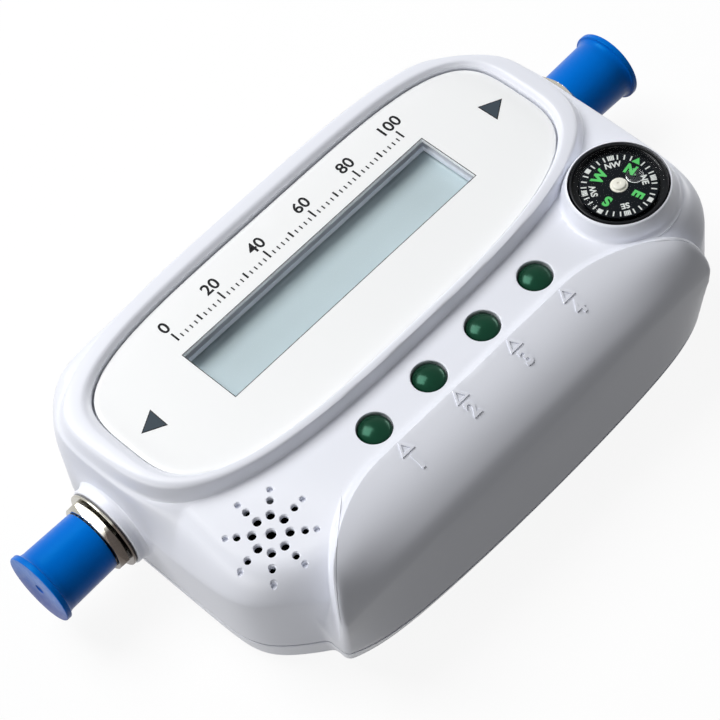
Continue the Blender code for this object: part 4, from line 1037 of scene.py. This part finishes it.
def upper_case():
    """The upper moulding with its collars and boss, and all that is cut out of it."""
    pocket = rod(COMPASS_RADIUS + GAP, COMPASS_RIM - CUP_DEPTH - GAP, COMPASS_RIM + OVERRUN)
    lamp_holes = [flared_hole(x, y, LAMP_HOLE_RADIUS, AXIS_LEVEL, DECK_LEVEL + 0.00001, FINE_TURN)
                  for x, y in LAMP_PLACES]
    bore = rod(BARREL_RADIUS + GAP, COLLAR_INNER_X - OVERRUN, COLLAR_FACE_X + OVERRUN)
    bores = [turned(bore, (0, 0, AXIS_LEVEL), SMALL_TURN, sense) for sense in (-1, 1)]
    pane_low = PANEL_LEVEL - PANEL_THICKNESS - GAP - PANE_THICKNESS - GAP
    steps = [
        ('UNION', connector_collars()),
        ('UNION', compass_boss()),
        ('DIFFERENCE', turned(pocket, (COMPASS_X, COMPASS_Y, 0), ROUND_TURN)),
        ('DIFFERENCE', together(lamp_holes)),
        ('DIFFERENCE', sound_pocket()),
        ('DIFFERENCE', sound_holes()),
        ('DIFFERENCE', window_cutter(0.0, AXIS_LEVEL, PANEL_LEVEL)),
        ('DIFFERENCE', window_cutter(PANE_MARGIN + GAP, pane_low, PANEL_LEVEL)),
        ('DIFFERENCE', together(bores))]
    shown("upper_case", carved(shell_surface(), steps), "white_plastic", stands_for="top_shell")


def lower_case():
    """The lower moulding as one closed grid: base, wall up to the seam, and tray."""
    case = CaseRays(even_rays(COVER_AROUND, TIP_DENSITY))
    levels = np.concatenate([np.linspace(BASE_ROUND, SEAM_LEVEL - 0.0002, 9),
                             [SEAM_LEVEL - 0.00008, SEAM_LEVEL]])

    def inside(distance):
        return skin_depth(case, distance, levels[None, :]) > 0
    wall = halved(inside, (len(case.rays), len(levels)), SKIN_LIMIT, SKIN_STEPS)
    wall[:, -2:] -= (0.00003, 0.00012)
    foot = wall[:, :1]
    grid = [case.rings(foot - 2 * BASE_ROUND, 0.0)]
    grid += [case.rings(foot + across, rise)
             for across, rise in bend(0.0, 0.0, -BASE_ROUND, BASE_ROUND, 6)[:0:-1]]
    grid.append(case.rings(wall, levels[None, :]))
    tray = outline(case.rays, CASE_SIDES[:, 4] - WALL - BASE_INSET)
    grid += [case.rings(tray, level) for level in (SEAM_LEVEL, WALL)]
    posts = turned_at(rod(POST_RADIUS + WALL / 2, WALL / 2, SEAM_LEVEL), SCREW_PLACES, SMALL_TURN)
    top = SCREW_RECESS + SCREW_HEAD_HEIGHT + GAP
    wide = SCREW_HEAD_RADIUS + GAP
    narrow = SCREW_RADIUS + GAP
    sink = [(0.0, -OVERRUN), (wide + SINK_EASE, -OVERRUN)]
    sink += flare(wide, 0.0, SINK_EASE, SINK_EASE)
    sink += [(wide, top), (narrow, top), (narrow, SEAM_LEVEL + OVERRUN), (0.0, SEAM_LEVEL + OVERRUN)]
    sinks = turned_at(sink, SCREW_PLACES, SMALL_TURN)
    mesh = carved(closed_grid(np.concatenate(grid)), [('UNION', posts), ('DIFFERENCE', sinks)])
    shown("lower_case", mesh, "white_plastic", stands_for="bottom_cover")


# Panel and marks

def face_panel():
    """The printed panel: a superellipse with an eased edge and the display's opening."""
    case = CaseRays(even_rays(PANEL_AROUND))
    edge = oval(case.rays, PANEL_OVAL)
    grid = [case.rings(edge - inset, PANEL_LEVEL - drop) for inset, drop in (
        (0.0002, PANEL_THICKNESS), (0.0, PANEL_THICKNESS), (0.0, 0.00018), (0.00004, 0.00006),
        (0.00016, 0.0), (0.0008, 0.0))]
    mesh = carved(closed_grid(np.concatenate(grid)),
                  [('DIFFERENCE', window_cutter(0.0, 0.0, PANEL_LEVEL + OVERRUN))])
    shown("printed_panel", mesh, "white_film", stands_for="face_panel")


def panel_print():
    """Plain marks on the panel: arrowheads, a line round the window and a scale of 0 to 100."""
    low = PANEL_LEVEL - PRINT_LOW
    high = PANEL_LEVEL + PRINT_HIGH
    marks = []
    lines = []
    for arrow in ARROWS:
        corners = np.array(arrow)
        middle = corners.mean(axis=0)
        lines.append(prism(corners, low, high))
        marks.append(prism(middle + (corners - middle) * ARROW_FILL, low, high + PRINT_LOW))
    half = FRAME_LINE / 2
    for sense in (-1, 1):
        lines.append(block(WINDOW_X + sense * (WINDOW_HALF_X + half), WINDOW_Y, half,
                           WINDOW_HALF_Y + FRAME_LINE, low, PANEL_LEVEL + PRINT_LOW))
        lines.append(block(WINDOW_X, WINDOW_Y + sense * (WINDOW_HALF_Y + half), WINDOW_HALF_X,
                           half, low, PANEL_LEVEL + PRINT_LOW))
    for i in range(SCALE_STEPS + 1):
        x = WINDOW_X + (i / SCALE_STEPS - 0.5) * SCALE_LENGTH
        long, half = next(line[1:] for line in SCALE_LINES if i % line[0] == 0)
        lines.append(prism([(x - half, SCALE_Y), (x + half, SCALE_Y), (x + half, SCALE_Y + long),
                            (x - half, SCALE_Y + long)], low, high))
    shown("panel_marks", together(marks), "print_ink")
    numbers = [(str(20 * i), NUMBER_HEIGHT, WINDOW_X + (i / 5 - 0.5) * SCALE_LENGTH, NUMBERS_Y, 0.0)
               for i in range(6)]
    lines += lettering(numbers, low, LETTER_THICKNESS, NUMBER_BOLDER)
    shown("panel_scale", together(lines), "dial_ink")


def embossed_marks():
    """Raised arrowheads and plain numerals on the apron's slope, one pair for each lamp."""
    made = []
    for x, _ in LAMP_PLACES:
        outer = np.array(MARK_CORNERS) + (x, 0.0)
        middle = outer.mean(axis=0)
        inner = middle + (outer - middle) * MARK_HOLE
        made.append(closed_grid([np.column_stack([ring, apron_front(*ring.T) + lift])
                                 for ring, lift in ((outer, -MARK_ROOT), (outer, MARK_RISE),
                                                    (inner, MARK_RISE), (inner, -MARK_ROOT))], True))
    numerals = [(str(i + 1), NUMERAL_HEIGHT, x, NUMERAL_Y, 0.0) for i, (x, _) in enumerate(LAMP_PLACES)]
    for mesh in lettering(numerals, 0.0, 2 * MARK_RISE, NUMERAL_BOLDER):
        points = np.zeros(len(mesh.vertices) * 3)
        mesh.vertices.foreach_get("co", points)
        points = points.reshape(-1, 3)
        points[:, 2] += apron_front(points[:, 0], points[:, 1]) - MARK_RISE
        mesh.vertices.foreach_set("co", points.ravel())
        made.append(mesh)
    shown("embossed_marks", together(made), "white_plastic", sharp=MARK_SHARP)


def signal_lamps():
    """Round lamps with a domed end, and their two square leads."""
    base = LAMP_TOP - LAMP_DOME_RISE - LAMP_BODY
    flange = LAMP_RADIUS + LAMP_FLANGE
    step = base + LAMP_FLANGE_HEIGHT
    profile = [(0.0, base), (flange, base), (flange, step), (LAMP_RADIUS, step)]
    profile += bend(LAMP_RADIUS, LAMP_TOP, -LAMP_RADIUS, -LAMP_DOME_RISE, 14)[:-1]
    leads = []
    for i, (x, y) in enumerate(LAMP_PLACES):
        shown("lamp_lens_%d" % (i + 1), turned(profile + [(0.0, LAMP_TOP)], (x, y, 0), SMALL_TURN),
              "green_lens", stands_for="signal_lamp_%d" % (i + 1))
        leads += [block(x + sense * LEAD_OFFSET, y, LEAD_HALF, LEAD_HALF, LEAD_FOOT, base + 0.0002)
                  for sense in (-1, 1)]
    shown("lamp_leads", together(leads), "tin_plate")


# Compass

def compass():
    """Cup, card with its hub, clear dome, and the bubble under it."""
    centre = (COMPASS_X, COMPASS_Y, COMPASS_RIM)
    inner = COMPASS_RADIUS - CUP_WALL
    step = inner + CUP_WALL / 2
    seat = -DOME_SKIRT - GAP
    floor = CUP_FLOOR - CUP_DEPTH
    cup = eased([(0.0, -CUP_DEPTH, 0), (COMPASS_RADIUS, -CUP_DEPTH, 0.0003),
                 (COMPASS_RADIUS, 0.0, 0.00025), (step, 0.0, 0.0001), (step, seat, 0),
                 (inner - CUP_WALL, seat, 0.00012), (inner - CUP_WALL, floor, 0.0006), (0.0, floor, 0)])
    shown("compass_bowl", turned(cup, centre, ROUND_TURN), "black_plastic", stands_for="compass_cup")
    top = COMPASS_RIM - CARD_DEPTH
    card_centre = (COMPASS_X, COMPASS_Y, top)
    card = eased([(0.0, -CARD_THICKNESS, 0), (CARD_RADIUS, -CARD_THICKNESS, 0.0001),
                  (CARD_RADIUS, 0.0, 0.0001), (0.0, 0.0, 0)])
    shown("compass_disc_card", turned(card, card_centre, ROUND_TURN), "black_card", "compass_disc",
          stands_for="compass_card")
    shown("compass_hub", turned(eased(HUB_PROFILE), card_centre, SMALL_TURN), "hub_cream",
          "compass_disc")
    compass_marks(top)
    outside = step - GAP
    inside = outside - DOME_WALL
    vault = DOME_RISE - DOME_WALL
    dome = [(0.0, vault)] + bend(inside, vault, -inside, -VAULT_RISE, 16)[-2::-1]
    dome += [(inside, -DOME_SKIRT), (outside, -DOME_SKIRT)]
    dome += bend(outside, DOME_RISE, -outside, -DOME_RISE, 16)[:-1] + [(0.0, DOME_RISE)]
    shown("compass_glass", turned(dome, centre, ROUND_TURN), "clear_plastic",
          stands_for="compass_dome")
    bubble = [(BUBBLE_RADIUS * math.cos(a), BUBBLE_RISE * math.sin(a))
              for a in np.linspace(-math.pi / 2, math.pi / 2, 25)[1:-1]]
    shown("compass_bubble", turned(bubble, BUBBLE_PLACE, SMALL_TURN), "bubble_film")


def compass_marks(top):
    """The card's print: 32 places with ticks and blocks, an arrowhead and the points' letters."""
    low = top - PRINT_LOW

    def mark(turn, corners):
        along = np.array([math.cos(turn), math.sin(turn)])
        beside = np.array([-along[1], along[0]])
        return prism([(COMPASS_X, COMPASS_Y) + along * reach + beside * aside
                      for reach, aside in corners], low, top + PRINT_HIGH)

    def letters(words, height, reach, bolder):
        items = []
        for text, turn in words:
            angle = NORTH - math.radians(turn)
            items.append((text, height, COMPASS_X + reach * math.cos(angle),
                          COMPASS_Y + reach * math.sin(angle), angle - math.pi / 2))
        return lettering(items, low, LETTER_THICKNESS, bolder)
    whites = []
    for i in range(1, 32):
        half, first, last = TICK if i % 8 else BLOCK
        whites += [mark(NORTH + TURN * i / 32 + shift,
                        ((first, -half), (last, -half), (last, half), (first, half)))
                   for shift in (TICK_GROUP if i % 8 == 4 else (0.0,))]
    greens = [mark(NORTH, ((0.0061, 0.0), (0.0049, 0.0007), (0.0049, -0.0007)))]
    greens += letters((("N", 0), ("E", 90), ("S", 180), ("W", 270)), 0.0017, 0.0034, 0.00011)
    whites += letters((("NE", 45), ("SE", 135), ("SW", 225), ("NW", 315)), 0.0010, 0.0040, 0.00004)
    shown("compass_ticks", together(whites), "card_white", "compass_disc")
    shown("compass_letters", together(greens), "card_green", "compass_disc")


# Connectors

def connector(side, sense):
    """One connector: barrel, plug, contact, washer, nut and cap, from the inside out."""
    def on_axis(name, profile, steps, finish, node, body="meter"):
        shown(side + name, turned(profile, (0, 0, AXIS_LEVEL), steps, sense), finish, body,
              stands_for=side + node)
    threaded_barrel(side, sense)
    bore_end = BARREL_END_X - BARREL_BORE_DEPTH
    plug = BARREL_BORE - GAP
    face = BARREL_END_X - PLUG_SINK
    on_axis("_insulating_plug",
            eased([(PLUG_HOLE, bore_end + GAP, 0), (plug, bore_end + GAP, 0), (plug, face, 0.0002),
                   (PLUG_HOLE, face, 0.0002)]), SMALL_TURN, "insulator_white", "_insulator")
    end = BARREL_END_X - CONTACT_SINK
    on_axis("_spring_contact",
            eased([(0.0, BARREL_INNER_X, 0), (CONTACT_RADIUS, BARREL_INNER_X, 0),
                   (CONTACT_RADIUS, end, 0.0001), (CONTACT_HOLE, end, 0.0001),
                   (CONTACT_HOLE, end - CONTACT_HOLE_DEPTH, 0), (0.0, end - CONTACT_HOLE_DEPTH, 0)]),
            32, "contact_brass", "_centre_contact")
    hole = BARREL_RADIUS + GAP
    washer_in = COLLAR_FACE_X + GAP
    washer_out = washer_in + WASHER_THICKNESS
    on_axis("_plated_washer",
            eased([(hole, washer_in, 0.0001), (WASHER_RADIUS, washer_in, 0.00012),
                   (WASHER_RADIUS, washer_out, 0.00012), (hole, washer_out, 0.0001)]),
            ROUND_TURN, "nickel_plate", "_washer")
    nut_in = washer_out + GAP
    nut_out = nut_in + NUT_THICKNESS
    hexagon_nut(side, sense, nut_in, nut_out)
    on_axis("_blue_cap", cap_profile(nut_out + GAP / 2), 144, "blue_plastic", "_dust_cap",
            side + "_cap")


def threaded_barrel(side, sense):
    """A barrel with an inner flange, a bore and a thread that fades out at its end.

    The thread's radius falls by depth * |2 phase - 1| ** 0.85, where the phase runs on by
    one for each pitch along the axis and each turn round it.
    """
    flange_out = COLLAR_INNER_X - GAP
    flange_in = flange_out - BARREL_FLANGE
    bore_end = BARREL_END_X - BARREL_BORE_DEPTH
    through = CONTACT_RADIUS + GAP
    angles = np.linspace(0, TURN, FINE_TURN, endpoint=False)
    lines = np.arange(COLLAR_INNER_X + 0.0005, THREAD_END_X, THREAD_PITCH / 10)
    phase = (lines[:, None] / THREAD_PITCH + angles[None, :] / TURN * sense) % 1.0
    wave = np.abs(phase * 2 - 1) ** 0.85
    fade = smooth_step((THREAD_END_X - lines) / THREAD_PITCH)[:, None]
    radius = BARREL_RADIUS - THREAD_DEPTH * (wave * fade + 0.9 * (1 - fade))
    rows = [(through, BARREL_INNER_X), (BARREL_RADIUS, BARREL_INNER_X), (BARREL_RADIUS, flange_in),
            (BARREL_FLANGE_RADIUS, flange_in), (BARREL_FLANGE_RADIUS, flange_out),
            (BARREL_RADIUS, flange_out), *zip(radius, lines),
            (BARREL_RADIUS - 0.0004, BARREL_END_X - 0.00025), (BARREL_RADIUS - 0.00055, BARREL_END_X),
            (BARREL_BORE + 0.0002, BARREL_END_X), (BARREL_BORE, BARREL_END_X - 0.0002),
            (BARREL_BORE, bore_end), (through, bore_end)]
    shown(side + "_threaded_barrel", axis_rings(rows, FINE_TURN, sense), "nickel_plate",
          stands_for=side + "_connector_barrel")


def hexagon_nut(side, sense, nut_in, nut_out):
    """A hexagon nut: at each angle its side runs to where the chamfer cone cuts it.

    The side's reach is flat / cos(angle from the flat's middle), with eased corners; the
    cone's reach falls from the corner to the flat over the chamfer's depth.
    """
    angles = np.linspace(0, TURN, NUT_AROUND, endpoint=False)
    sides = np.array([np.maximum(np.cos(angles - TURN * (k + 0.5) / 6), 0) for k in range(6)])
    reach = NUT_FLAT / ((sides ** 60).sum(axis=0) ** (1 / 60))
    chamfer = (reach - NUT_FLAT) * NUT_CHAMFER / (NUT_FLAT / math.cos(math.pi / 6) - NUT_FLAT)
    low = nut_in + chamfer * 0.5 + 0.0001
    high = nut_out - chamfer - 0.00008
    hole = BARREL_RADIUS + GAP
    rows = [(hole + 0.0002, nut_in), (NUT_FLAT - 0.00025, nut_in), (NUT_FLAT, nut_in + 0.00006)]
    rows += [(reach, low + (high - low) * share) for share in (0, 0.25, 0.5, 0.75, 1)]
    rows += [(NUT_FLAT + 0.00003, nut_out - 0.00006), (NUT_FLAT - 0.00012, nut_out),
             (hole + 0.00025, nut_out), (hole, nut_out - 0.00025), (hole, nut_in + 0.0002)]
    shown(side + "_plated_nut", axis_rings(rows, NUT_AROUND, sense), "nickel_plate",
          stands_for=side + "_hex_nut", sharp=NUT_SHARP)


def cap_profile(open_end):
    """A tapered push-on cap: open sleeve, filleted flange, and a dished end with a dimple."""
    inner = BARREL_RADIUS + GAP
    face_out = CAP_END_X - CAP_FACE_RECESS
    face_in = face_out - CAP_WEB
    flange_in = CAP_END_X - CAP_FLANGE_THICKNESS
    dish = [(CAP_FACE_RADIUS + (CAP_DIMPLE - CAP_FACE_RADIUS) * t,
             CAP_END_X - CAP_FACE_RECESS * smooth_step(t)) for t in np.linspace(0, 1, 9)]
    return ([(0.0, face_in), (inner, face_in), (inner, open_end + 0.0003), (inner + 0.00015, open_end),
             (CAP_OPEN_RADIUS - 0.0001, open_end), (CAP_OPEN_RADIUS, open_end + 0.00012)]
            + bend(CAP_ROOT_RADIUS, flange_in, CAP_FILLET, -CAP_FILLET_LENGTH)
            + bend(CAP_FLANGE_RADIUS, flange_in, -CAP_RIM, CAP_RIM)[::-1]
            + bend(CAP_FLANGE_RADIUS, CAP_END_X, -CAP_RIM, -CAP_RIM) + dish
            + bend(CAP_DIMPLE, face_out - CAP_DIMPLE_DEPTH, -CAP_DIMPLE, CAP_DIMPLE_DEPTH)[1:-1]
            + [(0.0, face_out - CAP_DIMPLE_DEPTH)])


def cover_screws():
    """Pan-head screws with a cross recess, sunk in the base."""
    head = SCREW_HEAD_RADIUS
    profile = [(0.0, 0.0)] + bend(head, 0.0, -head, SCREW_CROWN, 7)[-2:0:-1]
    profile += [(head, SCREW_CROWN), (head, SCREW_HEAD_HEIGHT), (SCREW_RADIUS, SCREW_HEAD_HEIGHT),
                (SCREW_RADIUS, SCREW_LENGTH - SCREW_POINT), (SCREW_POINT_RADIUS, SCREW_LENGTH),
                (0.0, SCREW_LENGTH)]
    for i, (x, y) in enumerate(SCREW_PLACES):
        arms = [('DIFFERENCE', block(x, y, *halves, SCREW_RECESS - OVERRUN, SCREW_RECESS + CROSS_DEPTH))
                for halves in ((CROSS_WIDE, CROSS_LONG), (CROSS_LONG, CROSS_WIDE))]
        shown("base_screw_%d" % (i + 1), carved(turned(profile, (x, y, SCREW_RECESS), 64), arms),
              "bright_steel", stands_for="cover_screw_%d" % (i + 1))


# Studio

def strength_by_ray(tree, plain, seen):
    """One strength for the rays that light the object, and another for those that show it."""
    path = tree.nodes.new('ShaderNodeLightPath')
    share = path.outputs["Is Camera Ray"]
    for kind in ("Is Glossy Ray", "Is Transmission Ray"):
        most = tree.nodes.new('ShaderNodeMath')
        most.operation = 'MAXIMUM'
        tree.links.new(share, most.inputs[0])
        tree.links.new(path.outputs[kind], most.inputs[1])
        share = most.outputs[0]
    chosen = tree.nodes.new('ShaderNodeMapRange')
    chosen.inputs["To Min"].default_value = plain
    chosen.inputs["To Max"].default_value = seen
    tree.links.new(share, chosen.inputs["Value"])
    return chosen.outputs["Result"]


def make_floor():
    """A floor that looks white, keeps the object's shadow and bounces little light."""
    bpy.ops.mesh.primitive_plane_add(size=FLOOR_SIZE, location=(0, 0, FLOOR_LEVEL))
    floor = bpy.context.object
    floor.name = "floor"
    recipe = Recipe("floor_white", (FLOOR_TONE,) * 3, 0.9, Specular_IOR_Level=0.0)
    tree = recipe.tree
    glow = recipe.node('ShaderNodeEmission')
    summed = recipe.node('ShaderNodeAddShader')
    recipe.link(strength_by_ray(tree, 0.0, FLOOR_GLOW), glow.inputs["Strength"])
    recipe.link(recipe.shader.outputs[0], summed.inputs[0])
    recipe.link(glow.outputs[0], summed.inputs[1])
    recipe.link(summed.outputs[0], tree.nodes["Material Output"].inputs["Surface"])
    floor.data.materials.append(recipe.material)


def make_studio():
    """A plain pale floor, a pale world and soft lamps from both sides and from behind."""
    make_floor()
    world = bpy.data.worlds.new("studio")
    bpy.context.scene.world = world
    world.use_nodes = True
    tree = world.node_tree
    background = tree.nodes["Background"]
    background.inputs["Color"].default_value = (1, 1, 1, 1)
    tree.links.new(strength_by_ray(tree, WORLD_LIGHT, 1.0), background.inputs["Strength"])
    for name, place, wide, high, power in LAMPS:
        data = bpy.data.lights.new(name, 'AREA')
        data.shape = 'RECTANGLE'
        data.size = wide
        data.size_y = high
        data.energy = power
        lamp = linked(name, data)
        lamp.location = place
        lamp.rotation_mode = 'QUATERNION'
        lamp.rotation_quaternion = (-Vector(place)).to_track_quat('-Z', 'Y')
    bpy.context.scene.view_settings.view_transform = 'Standard'


def dress_solids():
    """Each solid that stays in view gets the full finish of its slot."""
    slots = {row["node"]: row["material_slot"] for row in frame["record"]["subparts"]}
    for name, item in frame["nodes"].items():
        for place in item.material_slots:
            place.material = finishes[slots[name]]
    window = frame["nodes"]["display_window"]
    window.visible_shadow = window.visible_diffuse = False


make_camera()
dress_solids()
upper_case()
lower_case()
face_panel()
panel_print()
embossed_marks()
signal_lamps()
compass()
connector("left", -1)
connector("right", 1)
cover_screws()
make_studio()
